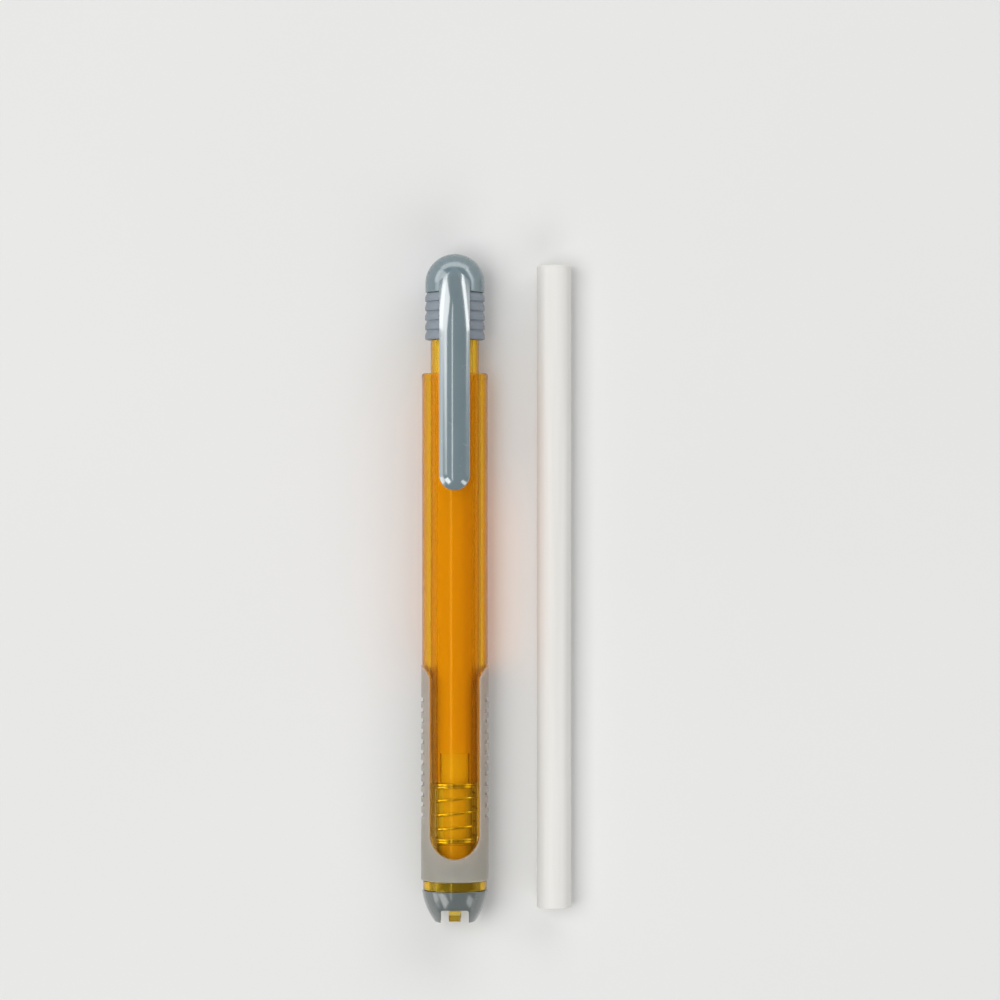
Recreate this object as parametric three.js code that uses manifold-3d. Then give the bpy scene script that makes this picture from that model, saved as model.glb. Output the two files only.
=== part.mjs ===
// A click eraser pen lying on a table with one spare eraser stick beside it.
// Millimetres, +Z up. The pen lies along Y with its nose to -Y and its clip on top.
// Stations along the pen are measured from the tip of the nose, which is station 0.
import * as THREE from "three";
import { mergeVertices } from "three/addons/utils/BufferGeometryUtils.js";
import Module from "manifold-3d";

// Clearances
const SLIDE = 0.15; // radial, between pieces that slide in each other
const FIT = 0.06; // radial, between pieces that are pressed together
const SEAM = 0.1; // along the pen, where two pieces meet face to face
const CUT = 2; // how far a cutting solid reaches past what it cuts

// Eraser stick, in the pen and as the spare
const STICK_DIAMETER = 6.8;
const STICK_LENGTH = 126.6;
const STICK_CHAMFER = 0.2;
const SPARE_SPACING = 19.5; // from the pen's axis to the spare's axis

// Lengths along the pen, from the nose to the cap
const NOSE_LENGTH = 6.3;
const COLLAR_LENGTH = 1.9;
const GRIP_LENGTH = 42.2;
const CORE_SETBACK = 2.4; // from the nose's tip to the stick's front end
const PUSH_STROKE = 6;
const PUSH_RESERVE = 0.6;
const RIB_COUNT = 5;
const RIB_PITCH = 1.86;
const CAP_SKIRT = 1.8;
const CAP_TOP_WALL = 2;
const TUBE_IN_CAP = 3;

// Walls, from the stick outwards
const TUBE_WALL = 1.2;
const BARREL_WALL = 1.55;
const BARREL_RIM_RISE = 0.06;
const BARREL_RIM_LENGTH = 1.2;
const BARREL_RIM_ROUND = 0.4;
const SPIGOT_WALL = 0.6;
const SPIGOT_LENGTH = 5.5;
const SOCKET_WALL = 0.7;
const COLLAR_RISE = 0.44;
const COLLAR_ROUND = 0.25;
const FLANGE_LENGTH = 3.5;
const GRIP_WALL = 0.75;
const GRIP_ROUND = 0.35;
const SLEEVE_WALL = 0.69;
const RIB_DEPTH = 0.37;
const CAP_WALL = 0.99;

// Clutch jaws
const JAW_PAD_GAP = 0.1; // from the stick to a closed jaw
const JAW_WALL = 0.5;
const JAW_WEDGE = 0.4; // how far a jaw thickens towards its head
const JAW_SWING = 0.42; // room for a jaw to open in the barrel's flange
const JAW_STEM_WIDTH = 4.2;
const JAW_HEAD_WIDTH = 2.3;
const JAW_HEAD_LENGTH = 3.2;
const JAW_NECK_LENGTH = 2;
const JAW_TIP_INSET = 0.35;
const JAW_HEAD_SINK = 0.2; // how far the head lies below the nose's outside
const JAW_SLOT_LENGTH = 5.7;
const JAW_SLOT_CLEARANCE = 0.3;

// Nose
const NOSE_HOLE_CLEARANCE = 0.2;
const NOSE_TIP_WALL = 0.35;
const NOSE_TIP_ROUND = 0.25;
const NOSE_CONE_LENGTH = 2.6;
const NOSE_CONE_RISE = 1.18;
const NOSE_SHOULDER = 1.3; // from the base to the corner that the shoulder rounds
const NOTCH_WIDTH = 5.5;
const NOTCH_LENGTH = 2.65;
const NOTCH_ROUND = 0.5;

// Grip window and side grooves
const WINDOW_WIDTH = 9.9;
const WINDOW_SETBACK = 4.3; // from the grip's front edge to the window's round end
const WINDOW_FLARE = 3;
const WINDOW_CLEARANCE = 0.15;
const GROOVE_COUNT = 12;
const GROOVE_PITCH = 2.06;
const GROOVE_LENGTH = 0.87;
const GROOVE_DEPTH = 0.35;
const GROOVE_SETBACK = 12.8; // from the grip's front edge to the first groove's middle
const GROOVE_HEIGHT = 6;

// Spring
const SPRING_LENGTH = 12.2;
const SPRING_WIRE = 0.5;
const SPRING_END_PITCH = 1;
const SPRING_TURNS = 6;
const SPRING_START = Math.PI; // the angle of its first end, from the top

// Clip
const CLIP_WIDTH = 6;
const CLIP_REACH = 38.8; // from the cap's front edge to the clip's round end
const CLIP_GAP = 0.85; // from the barrel to the clip
const CLIP_THICKNESS = 1.6;
const CLIP_EDGE_DROP = 0.9;
const CLIP_FLAT = 1.6; // width of the flat along the clip's middle
const CLIP_CHAMFER = 0.2;
const CLIP_BEND = 3; // from the cap's front edge to where the clip starts to bend
const CLIP_BUMP_LENGTH = 4;
const CLIP_BUMP_SETBACK = 3.2; // from the clip's round end to the bump's middle
const CLIP_BUMP_GAP = 0.3; // from the barrel to the bump

// Facets
const SEGMENTS = 48;
const ARC_STEPS = 3;
const DOME_STEPS = 10;
const SHOULDER_STEPS = 6;
const CLIP_STEPS = 32;
const CLIP_ARC_STEPS = 5;
const WIRE_SIDES = 6;
const WIRE_STEPS_PER_TURN = 20;

// Radii that follow from the walls and clearances
const STICK_R = STICK_DIAMETER / 2;
const TUBE_BORE = STICK_R + SLIDE;
const TUBE_R = TUBE_BORE + TUBE_WALL;
const BARREL_BORE = TUBE_R + SLIDE;
const BARREL_R = BARREL_BORE + BARREL_WALL;
const JAW_INNER = STICK_R + JAW_PAD_GAP;
const JAW_STEM_R = JAW_INNER + JAW_WALL;
const JAW_NECK_R = JAW_STEM_R + JAW_WEDGE;
const THROAT_R = JAW_NECK_R + FIT;
const FLANGE_BORE = JAW_STEM_R + JAW_SWING;
const SPIGOT_R = THROAT_R + SPIGOT_WALL;
const SOCKET_R = SPIGOT_R + FIT;
const SEAT_R = SOCKET_R + SOCKET_WALL;
const COLLAR_R = SEAT_R + COLLAR_RISE;
const GRIP_BORE = SEAT_R + FIT;
const GRIP_R = GRIP_BORE + GRIP_WALL;
const SLEEVE_BORE = TUBE_R + FIT;
const RIB_LOW_R = SLEEVE_BORE + SLEEVE_WALL;
const RIB_HIGH_R = RIB_LOW_R + RIB_DEPTH;
const CAP_R = SLEEVE_BORE + CAP_WALL;
const NOSE_HOLE_R = STICK_R + NOSE_HOLE_CLEARANCE;
const NOSE_TIP_R = NOSE_HOLE_R + NOSE_TIP_WALL;
const NOSE_CONE_R = NOSE_TIP_R + NOSE_CONE_RISE;
const SPRING_R = TUBE_R - SPRING_WIRE / 2;
const CLIP_UNDER = BARREL_R + CLIP_GAP;

// Stations that follow from the lengths: the pen takes one whole stick, and the barrel is what that leaves
const PEN_LENGTH = CORE_SETBACK + STICK_LENGTH + SEAM + CAP_TOP_WALL;
const POCKET_END = PEN_LENGTH - CAP_TOP_WALL;
const DOME_CENTRE = PEN_LENGTH - CAP_R;
const CAP_FRONT = DOME_CENTRE - CAP_SKIRT;
const TUBE_REAR = CAP_FRONT + TUBE_IN_CAP;
const CLIP_END = CAP_FRONT - CLIP_REACH;
const SLEEVE_FRONT = CAP_FRONT - RIB_COUNT * RIB_PITCH;
const BARREL_REAR = SLEEVE_FRONT - PUSH_RESERVE - PUSH_STROKE;
const BARREL_FRONT = NOSE_LENGTH + SEAM;
const GRIP_FRONT = NOSE_LENGTH + COLLAR_LENGTH;
const GRIP_REAR = GRIP_FRONT + GRIP_LENGTH;
const WINDOW_FRONT = GRIP_FRONT + WINDOW_SETBACK;
const SPIGOT_REAR = NOSE_LENGTH + SPIGOT_LENGTH;
const FLANGE_FRONT = SPIGOT_REAR + SEAM;
const SPRING_SEAT = FLANGE_FRONT + FLANGE_LENGTH;
const TUBE_FRONT = SPRING_SEAT + SPRING_LENGTH;
const JAW_ROOT = TUBE_FRONT + JAW_SLOT_LENGTH;

const wasm = await Module();
wasm.setup();

/** A closed geometry as a solid that can be joined and cut. */
function solidOf(geometry) {
  const bare = geometry.clone();
  bare.deleteAttribute("normal");
  bare.deleteAttribute("uv");
  const merged = mergeVertices(bare);
  return new wasm.Manifold(
    new wasm.Mesh({
      numProp: 3,
      vertProperties: merged.attributes.position.array,
      triVerts: new Uint32Array(merged.index.array),
    }),
  );
}

/** A solid as a geometry again. */
function geometryOf(solid) {
  const { vertProperties, triVerts } = solid.getMesh();
  const geometry = new THREE.BufferGeometry();
  geometry.setAttribute("position", new THREE.BufferAttribute(vertProperties, 3));
  geometry.setIndex(new THREE.BufferAttribute(triVerts, 1));
  geometry.computeVertexNormals();
  return geometry;
}

/** Turns a profile of (radius, station) about the pen's axis. The profile runs up its outside. */
function revolve(profile, arcSteps = ARC_STEPS) {
  return new THREE.LatheGeometry(profile.getPoints(arcSteps), SEGMENTS);
}

/** A profile that starts and ends at its first corner. */
function ringProfile(...corners) {
  const profile = new THREE.Path(corners.map(([radius, station]) => new THREE.Vector2(radius, station)));
  profile.closePath();
  return profile;
}

/** An outline seen from above, as (x, station), pushed through the pen from bottom to top in Z. */
function plumb(outline, bottom, top) {
  const geometry = new THREE.ExtrudeGeometry(outline, {
    depth: top - bottom,
    bevelEnabled: false,
    curveSegments: SEGMENTS / 4,
  });
  return geometry.translate(0, 0, bottom);
}

/** An outline seen from the side, as (station, z), pushed across the pen in X. */
function across(outline, width) {
  const geometry = new THREE.ExtrudeGeometry(outline, {
    depth: width,
    bevelEnabled: false,
    curveSegments: SEGMENTS / 4,
  });
  geometry.translate(0, 0, -width / 2);
  const [x, y, z] = [new THREE.Vector3(1, 0, 0), new THREE.Vector3(0, 1, 0), new THREE.Vector3(0, 0, 1)];
  return geometry.applyMatrix4(new THREE.Matrix4().makeBasis(y, z, x));
}

/** The grip's U-shaped window seen from above, drawn in by an inset, open to the rear between its horns. */
function windowOutline(inset) {
  const half = WINDOW_WIDTH / 2 - inset;
  const roundCentre = WINDOW_FRONT + WINDOW_WIDTH / 2;
  const flareStart = GRIP_REAR - WINDOW_FLARE;
  const flareCorner = GRIP_REAR - WINDOW_FLARE / 2;
  const hornX = GRIP_R - inset;
  const outline = new THREE.Shape();
  outline.moveTo(half, roundCentre);
  outline.lineTo(half, flareStart);
  outline.quadraticCurveTo(half, flareCorner, hornX, GRIP_REAR);
  outline.lineTo(hornX + CUT, GRIP_REAR + CUT);
  outline.lineTo(-hornX - CUT, GRIP_REAR + CUT);
  outline.lineTo(-hornX, GRIP_REAR);
  outline.quadraticCurveTo(-half, flareCorner, -half, flareStart);
  outline.lineTo(-half, roundCentre);
  outline.absarc(0, roundCentre, half, Math.PI, 2 * Math.PI);
  return outline;
}

/** The grip's window as a solid, through the top and the bottom of the pen. */
function windowSolid(inset) {
  return solidOf(plumb(windowOutline(inset), -GRIP_R - CUT, GRIP_R + CUT));
}

/** A rectangle seen from above, centred on the pen's axis. */
function strip(width, front, rear) {
  const outline = new THREE.Shape();
  outline.moveTo(-width / 2, front);
  outline.lineTo(width / 2, front);
  outline.lineTo(width / 2, rear);
  outline.lineTo(-width / 2, rear);
  return outline;
}

/** Outer tube: nose socket, spring flange, collar, and a seat for the grip that leaves the window's tongue proud. */
function barrelGeometry() {
  const rimR = BARREL_R + BARREL_RIM_RISE;
  const profile = new THREE.Path();
  profile.moveTo(SOCKET_R, BARREL_FRONT);
  profile.lineTo(COLLAR_R - COLLAR_ROUND, BARREL_FRONT);
  profile.quadraticCurveTo(COLLAR_R, BARREL_FRONT, COLLAR_R, BARREL_FRONT + COLLAR_ROUND);
  profile.lineTo(COLLAR_R, GRIP_FRONT - SEAM);
  profile.lineTo(BARREL_R, GRIP_FRONT - SEAM);
  profile.lineTo(BARREL_R, BARREL_REAR - BARREL_RIM_LENGTH);
  profile.lineTo(rimR, BARREL_REAR - BARREL_RIM_LENGTH + BARREL_RIM_RISE);
  profile.lineTo(rimR, BARREL_REAR - BARREL_RIM_ROUND);
  profile.quadraticCurveTo(rimR, BARREL_REAR, rimR - BARREL_RIM_ROUND, BARREL_REAR);
  profile.lineTo(BARREL_BORE, BARREL_REAR);
  profile.lineTo(BARREL_BORE, SPRING_SEAT);
  profile.lineTo(FLANGE_BORE, SPRING_SEAT);
  profile.lineTo(FLANGE_BORE, FLANGE_FRONT);
  profile.lineTo(SOCKET_R, FLANGE_FRONT);
  profile.closePath();
  const seatRing = ringProfile(
    [SEAT_R, GRIP_FRONT - SEAM],
    [BARREL_R + CUT, GRIP_FRONT - SEAM],
    [BARREL_R + CUT, GRIP_REAR + SEAM],
    [SEAT_R, GRIP_REAR + SEAM],
  );
  const seat = solidOf(revolve(seatRing)).subtract(windowSolid(WINDOW_CLEARANCE));
  return geometryOf(solidOf(revolve(profile)).subtract(seat));
}

/** The side grooves of the grip: a comb of rings, kept only at the left and right of the pen. */
function grooveSolid() {
  const outer = GRIP_R + CUT;
  const spine = GRIP_R + CUT / 2;
  const floor = GRIP_R - GROOVE_DEPTH;
  const first = GRIP_FRONT + GROOVE_SETBACK;
  const last = first + (GROOVE_COUNT - 1) * GROOVE_PITCH;
  const comb = new THREE.Path();
  comb.moveTo(outer, first - GROOVE_PITCH);
  comb.lineTo(outer, last + GROOVE_PITCH);
  comb.lineTo(spine, last + GROOVE_PITCH);
  for (let i = GROOVE_COUNT - 1; i >= 0; i--) {
    const middle = first + i * GROOVE_PITCH;
    comb.lineTo(spine, middle + GROOVE_LENGTH / 2);
    comb.lineTo(floor, middle + GROOVE_LENGTH / 2);
    comb.lineTo(floor, middle - GROOVE_LENGTH / 2);
    comb.lineTo(spine, middle - GROOVE_LENGTH / 2);
  }
  comb.lineTo(spine, first - GROOVE_PITCH);
  comb.closePath();
  const sides = plumb(strip(2 * (outer + CUT), 0, GRIP_REAR), -GROOVE_HEIGHT / 2, GROOVE_HEIGHT / 2);
  return solidOf(revolve(comb)).intersect(solidOf(sides));
}

/** Soft sleeve with the window, its horns and the side grooves. */
function gripGeometry() {
  const profile = new THREE.Path();
  profile.moveTo(GRIP_BORE, GRIP_FRONT);
  profile.lineTo(GRIP_R - GRIP_ROUND, GRIP_FRONT);
  profile.quadraticCurveTo(GRIP_R, GRIP_FRONT, GRIP_R, GRIP_FRONT + GRIP_ROUND);
  profile.lineTo(GRIP_R, GRIP_REAR);
  profile.lineTo(GRIP_BORE, GRIP_REAR);
  profile.closePath();
  return geometryOf(solidOf(revolve(profile)).subtract(windowSolid(0)).subtract(grooveSolid()));
}

/** Nose: cone with a rounded shoulder, a spigot into the barrel, and a notch for each jaw. */
function noseGeometry() {
  const profile = new THREE.Path();
  profile.moveTo(NOSE_HOLE_R, 0);
  profile.lineTo(NOSE_TIP_R - NOSE_TIP_ROUND / 2, 0);
  profile.lineTo(NOSE_TIP_R, NOSE_TIP_ROUND / 2);
  profile.lineTo(NOSE_CONE_R, NOSE_CONE_LENGTH);
  profile.quadraticCurveTo(BARREL_R, NOSE_LENGTH - NOSE_SHOULDER, BARREL_R, NOSE_LENGTH);
  profile.lineTo(SPIGOT_R, NOSE_LENGTH);
  profile.lineTo(SPIGOT_R, SPIGOT_REAR);
  profile.lineTo(THROAT_R, SPIGOT_REAR);
  profile.lineTo(THROAT_R, NOTCH_LENGTH);
  profile.lineTo(NOSE_HOLE_R, NOTCH_LENGTH - (THROAT_R - NOSE_HOLE_R));
  profile.closePath();
  const half = NOTCH_WIDTH / 2;
  const notch = new THREE.Shape();
  notch.moveTo(-half, -CUT);
  notch.lineTo(half, -CUT);
  notch.lineTo(half, NOTCH_LENGTH - NOTCH_ROUND);
  notch.absarc(half - NOTCH_ROUND, NOTCH_LENGTH - NOTCH_ROUND, NOTCH_ROUND, 0, Math.PI / 2);
  notch.absarc(NOTCH_ROUND - half, NOTCH_LENGTH - NOTCH_ROUND, NOTCH_ROUND, Math.PI / 2, Math.PI);
  const cutter = plumb(notch, -BARREL_R - CUT, BARREL_R + CUT);
  return geometryOf(solidOf(revolve(profile, SHOULDER_STEPS)).subtract(solidOf(cutter)));
}

/** One clutch jaw: a finger of the collet with a wedge neck and a head that catches on the notch. */
function jawGeometry(side) {
  const coneSlope = NOSE_CONE_RISE / NOSE_CONE_LENGTH;
  const catchStation = NOTCH_LENGTH - SEAM;
  const headR = (station) => NOSE_TIP_R + coneSlope * station - JAW_HEAD_SINK;
  const profile = ringProfile(
    [JAW_INNER, JAW_TIP_INSET],
    [headR(JAW_TIP_INSET), JAW_TIP_INSET],
    [headR(catchStation), catchStation],
    [JAW_NECK_R, catchStation],
    [JAW_NECK_R, NOTCH_LENGTH],
    [JAW_STEM_R, NOTCH_LENGTH + PUSH_STROKE],
    [JAW_STEM_R, JAW_ROOT - SEAM],
    [JAW_INNER, JAW_ROOT - SEAM],
  );
  const head = JAW_HEAD_WIDTH / 2;
  const stem = JAW_STEM_WIDTH / 2;
  const neckRear = JAW_HEAD_LENGTH + JAW_NECK_LENGTH;
  const finger = new THREE.Shape();
  finger.moveTo(-head, -CUT);
  finger.lineTo(head, -CUT);
  finger.lineTo(head, JAW_HEAD_LENGTH);
  finger.lineTo(stem, neckRear);
  finger.lineTo(stem, JAW_ROOT);
  finger.lineTo(-stem, JAW_ROOT);
  finger.lineTo(-stem, neckRear);
  finger.lineTo(-head, JAW_HEAD_LENGTH);
  const reach = GRIP_R * side;
  const half = plumb(finger, Math.min(0, reach), Math.max(0, reach));
  return geometryOf(solidOf(revolve(profile)).intersect(solidOf(half)));
}

/** Inner tube, slotted at its front end where the jaws are rooted. */
function tubeGeometry() {
  const profile = ringProfile(
    [TUBE_BORE, TUBE_FRONT],
    [TUBE_R, TUBE_FRONT],
    [TUBE_R, TUBE_REAR],
    [TUBE_BORE, TUBE_REAR],
  );
  const slot = strip(JAW_STEM_WIDTH + 2 * JAW_SLOT_CLEARANCE, TUBE_FRONT - CUT, JAW_ROOT);
  const cutter = plumb(slot, -TUBE_R - CUT, TUBE_R + CUT);
  return geometryOf(solidOf(revolve(profile)).subtract(solidOf(cutter)));
}

/** Push sleeve with saw-tooth ribs, each wider at its front edge. */
function sleeveGeometry() {
  const profile = new THREE.Path();
  profile.moveTo(SLEEVE_BORE, SLEEVE_FRONT);
  for (let i = 0; i < RIB_COUNT; i++) {
    const ribFront = SLEEVE_FRONT + i * RIB_PITCH;
    const ribRear = ribFront + RIB_PITCH - (i === RIB_COUNT - 1 ? SEAM : 0);
    profile.lineTo(RIB_LOW_R, ribFront);
    profile.lineTo(RIB_HIGH_R, ribFront + RIB_DEPTH / 2);
    profile.lineTo(RIB_HIGH_R, ribFront + RIB_PITCH / 2);
    profile.lineTo(RIB_LOW_R, ribRear);
  }
  profile.lineTo(SLEEVE_BORE, CAP_FRONT - SEAM);
  profile.closePath();
  return revolve(profile);
}

/** The clip's section, its underside on the path. A sweep along +Y lays a section's +x to -Z and its +y to -X. */
function clipSection() {
  const half = CLIP_WIDTH / 2;
  const shoulder = CLIP_THICKNESS - CLIP_EDGE_DROP;
  const section = new THREE.Shape();
  section.moveTo(0, half - CLIP_CHAMFER);
  section.lineTo(-CLIP_CHAMFER, half);
  section.lineTo(-shoulder, half);
  section.quadraticCurveTo(-CLIP_THICKNESS, half, -CLIP_THICKNESS, CLIP_FLAT / 2);
  section.lineTo(-CLIP_THICKNESS, -CLIP_FLAT / 2);
  section.quadraticCurveTo(-CLIP_THICKNESS, -half, -shoulder, -half);
  section.lineTo(-CLIP_CHAMFER, -half);
  section.lineTo(0, CLIP_CHAMFER - half);
  return section;
}

/** Pocket clip: the section swept along the pen and bent down into the dome, with a round end and a bump. */
function clipSolid() {
  const bendStart = new THREE.Vector3(0, CAP_FRONT - CLIP_BEND, CLIP_UNDER);
  const bendCorner = new THREE.Vector3(0, DOME_CENTRE + CLIP_THICKNESS / 2, CLIP_UNDER);
  const root = new THREE.Vector3(0, DOME_CENTRE + CLIP_THICKNESS, CAP_R / 2);
  const path = new THREE.CurvePath();
  path.add(new THREE.LineCurve3(new THREE.Vector3(0, CLIP_END, CLIP_UNDER), bendStart));
  path.add(new THREE.QuadraticBezierCurve3(bendStart, bendCorner, root));
  const arm = new THREE.ExtrudeGeometry(clipSection(), {
    steps: CLIP_STEPS,
    extrudePath: path,
    curveSegments: CLIP_ARC_STEPS,
  });
  const bumpMiddle = CLIP_END + CLIP_BUMP_SETBACK;
  const bumpTop = CLIP_UNDER + CLIP_THICKNESS / 4;
  const bumpDepth = bumpTop - BARREL_R - CLIP_BUMP_GAP;
  const bump = new THREE.Shape();
  bump.moveTo(bumpMiddle - CLIP_BUMP_LENGTH / 2, bumpTop);
  bump.quadraticCurveTo(bumpMiddle, bumpTop - 2 * bumpDepth, bumpMiddle + CLIP_BUMP_LENGTH / 2, bumpTop);
  const half = CLIP_WIDTH / 2;
  const outline = new THREE.Shape();
  outline.moveTo(half + CUT, PEN_LENGTH);
  outline.lineTo(-half - CUT, PEN_LENGTH);
  outline.lineTo(-half - CUT, CLIP_END + half);
  outline.lineTo(-half, CLIP_END + half);
  outline.absarc(0, CLIP_END + half, half, Math.PI, 2 * Math.PI);
  outline.lineTo(half + CUT, CLIP_END + half);
  const trim = plumb(outline, 0, CLIP_UNDER + CLIP_THICKNESS + CUT);
  const pad = across(bump, CLIP_WIDTH - 2 * CLIP_CHAMFER);
  return solidOf(arm).add(solidOf(pad)).intersect(solidOf(trim));
}

/** End cap: a dome in one piece with the clip, bored for the tube and for the end of the stick. */
function capGeometry() {
  const dome = new THREE.Path();
  dome.moveTo(0, CAP_FRONT);
  dome.lineTo(CAP_R, CAP_FRONT);
  dome.lineTo(CAP_R, DOME_CENTRE);
  dome.absarc(0, DOME_CENTRE, CAP_R, 0, Math.PI / 2);
  const bore = new THREE.Path();
  bore.moveTo(0, CAP_FRONT - CUT);
  bore.lineTo(SLEEVE_BORE, CAP_FRONT - CUT);
  bore.lineTo(SLEEVE_BORE, TUBE_REAR + SEAM);
  bore.lineTo(TUBE_BORE, TUBE_REAR + SEAM);
  bore.lineTo(TUBE_BORE, POCKET_END);
  bore.lineTo(0, POCKET_END);
  const body = solidOf(revolve(dome, DOME_STEPS)).add(clipSolid());
  return geometryOf(body.subtract(solidOf(revolve(bore))));
}

/** An eraser stick from station 0, with a small chamfer at both ends. */
function stickGeometry() {
  const profile = new THREE.Path();
  profile.moveTo(0, 0);
  profile.lineTo(STICK_R - STICK_CHAMFER, 0);
  profile.lineTo(STICK_R, STICK_CHAMFER);
  profile.lineTo(STICK_R, STICK_LENGTH - STICK_CHAMFER);
  profile.lineTo(STICK_R - STICK_CHAMFER, STICK_LENGTH);
  profile.lineTo(0, STICK_LENGTH);
  return revolve(profile);
}

/** The spring's wire: a right-hand helix with one close turn at each end and even turns between. */
class SpringCurve extends THREE.Curve {
  getPoint(t, target = new THREE.Vector3()) {
    const rise = SPRING_LENGTH - SPRING_WIRE - 2 * SEAM;
    const pitch = (rise - 2 * SPRING_END_PITCH) / (SPRING_TURNS - 2);
    const turn = t * SPRING_TURNS;
    const opened = THREE.MathUtils.clamp(turn - 1, 0, SPRING_TURNS - 2);
    const climb = SPRING_END_PITCH * (turn - opened) + pitch * opened;
    const angle = SPRING_START + 2 * Math.PI * turn;
    const station = SPRING_SEAT + SEAM + SPRING_WIRE / 2 + climb;
    return target.set(SPRING_R * Math.sin(angle), station, SPRING_R * Math.cos(angle));
  }
}

/** The least gap between the wire's turns, measured on points half a turn or more apart along it. */
function leastSelfGap(curve, steps) {
  const points = curve.getPoints(steps);
  const apart = Math.ceil(steps / SPRING_TURNS / 2);
  let least = Infinity;
  for (let i = 0; i < points.length; i++) {
    for (let j = i + apart; j < points.length; j++) {
      least = Math.min(least, points[i].distanceTo(points[j]));
    }
  }
  return least - SPRING_WIRE;
}

/** Return spring between the barrel's flange and the inner tube. */
function springGeometry() {
  const wire = new THREE.Shape();
  for (let i = 0; i < WIRE_SIDES; i++) {
    const angle = (2 * Math.PI * i) / WIRE_SIDES;
    const corner = [(SPRING_WIRE / 2) * Math.cos(angle), (SPRING_WIRE / 2) * Math.sin(angle)];
    if (i === 0) wire.moveTo(...corner);
    else wire.lineTo(...corner);
  }
  const curve = new SpringCurve();
  const steps = SPRING_TURNS * WIRE_STEPS_PER_TURN;
  console.log("return_spring: least gap to itself", leastSelfGap(curve, steps).toFixed(2), "mm");
  return new THREE.ExtrudeGeometry(wire, { steps, extrudePath: curve });
}

/** A named piece with its own finish. */
function piece(name, geometry, finish) {
  const mesh = new THREE.Mesh(geometry, new THREE.MeshStandardMaterial(finish));
  mesh.name = name;
  return mesh;
}

const clearOrange = { color: 0xd98a10, roughness: 0.15, metalness: 0, transparent: true, opacity: 0.55 };
const glossGrey = { color: 0x7f9096, roughness: 0.2, metalness: 0 };
const ribGrey = { color: 0x9096a0, roughness: 0.45, metalness: 0 };
const softGrey = { color: 0xaeaca0, roughness: 0.7, metalness: 0 };
const springSteel = { color: 0xc8c4b8, roughness: 0.3, metalness: 1 };
const eraserWhite = { color: 0xecebe6, roughness: 0.8, metalness: 0 };

const pen = new THREE.Group();
pen.add(
  piece("barrel", barrelGeometry(), clearOrange),
  piece("grip", gripGeometry(), softGrey),
  piece("nose_cone", noseGeometry(), glossGrey),
  piece("return_spring", springGeometry(), springSteel),
  piece("plunger_tube", tubeGeometry(), clearOrange),
  piece("jaw_top", jawGeometry(1), clearOrange),
  piece("jaw_bottom", jawGeometry(-1), clearOrange),
  piece("push_sleeve", sleeveGeometry(), ribGrey),
  piece("clip_cap", capGeometry(), glossGrey),
);
const core = piece("eraser_core", stickGeometry(), eraserWhite);
core.position.y = CORE_SETBACK;
pen.add(core);

const spare = piece("spare_refill", stickGeometry(), eraserWhite);
spare.position.set(SPARE_SPACING, CORE_SETBACK, STICK_R - GRIP_R);
pen.add(spare);

// The set is centred on the table: the grip's left side and the spare's right side are its edges in X.
pen.position.set(-(SPARE_SPACING + STICK_R - GRIP_R) / 2, -PEN_LENGTH / 2, GRIP_R);

const set = new THREE.Group();
set.add(pen);

export default set;
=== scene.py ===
"""Looks of a click eraser pen and its spare stick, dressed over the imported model.

The classes give sizes in millimetres, and Blender gets metres. A station is a distance along the pen from
the tip of its nose. An angle runs about the pen's axis, from the top towards the side of the spare stick.
"""

import logging
import math
from dataclasses import dataclass
from enum import Enum

import bmesh
import bpy
import numpy as np
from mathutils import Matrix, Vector
from numpy.typing import NDArray


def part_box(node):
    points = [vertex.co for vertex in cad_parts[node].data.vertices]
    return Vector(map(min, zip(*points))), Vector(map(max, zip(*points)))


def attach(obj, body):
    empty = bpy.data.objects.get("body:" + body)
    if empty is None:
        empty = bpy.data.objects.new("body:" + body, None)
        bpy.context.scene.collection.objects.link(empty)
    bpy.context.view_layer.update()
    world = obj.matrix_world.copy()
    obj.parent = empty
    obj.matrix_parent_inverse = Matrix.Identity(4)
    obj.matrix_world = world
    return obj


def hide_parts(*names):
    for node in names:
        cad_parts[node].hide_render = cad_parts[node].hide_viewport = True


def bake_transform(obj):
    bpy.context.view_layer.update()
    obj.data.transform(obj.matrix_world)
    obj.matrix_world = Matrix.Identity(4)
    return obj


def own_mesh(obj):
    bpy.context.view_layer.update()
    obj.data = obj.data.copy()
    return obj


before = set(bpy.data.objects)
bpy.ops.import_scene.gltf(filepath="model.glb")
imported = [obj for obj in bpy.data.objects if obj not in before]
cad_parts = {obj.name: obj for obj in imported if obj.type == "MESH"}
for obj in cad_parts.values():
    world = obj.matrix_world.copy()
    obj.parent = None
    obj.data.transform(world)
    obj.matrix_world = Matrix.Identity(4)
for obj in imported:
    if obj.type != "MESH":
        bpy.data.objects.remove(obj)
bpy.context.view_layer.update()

LOG = logging.getLogger("eraser_pen")
Array = NDArray[np.float64]
Mask = NDArray[np.bool_]
Triple = tuple[float, float, float]
Span = tuple[float, float]
Socket = bpy.types.NodeSocket
MM = 0.001

# Columns of a turned piece, and the turn in degrees past which an edge is shaded sharp
SEGMENTS = 120
SHARP_DEGREES = 38.0

# Points closer than this become one, in metres, and rows closer than this are level, in millimetres
MERGE = 2e-7
LEVEL = 1e-6

# Roundings that many edges share, in millimetres
SHARP = 0.0
FINE = 0.05
SOFT = 0.1

# Points of a rounding, and the share of an edge that it may take up
ROUND_POINTS = 6
ROUND_SHARE = 0.45
LEAST_EDGE = 1e-9

# The straight beside a rounding: its reach in roundings, and the share of an edge that it may take up
STRAIGHT_REACH = 1.5
STRAIGHT_SHARE = 0.48

# Columns in the strip beside an opening, as shares of the strip
STRIP_SHARES = np.array([0.0, 0.12, 0.28, 0.48, 0.72, 1.0])

# The part of a noise's range that its values mostly keep to
NOISE_RANGE = (0.3, 0.7)


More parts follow.
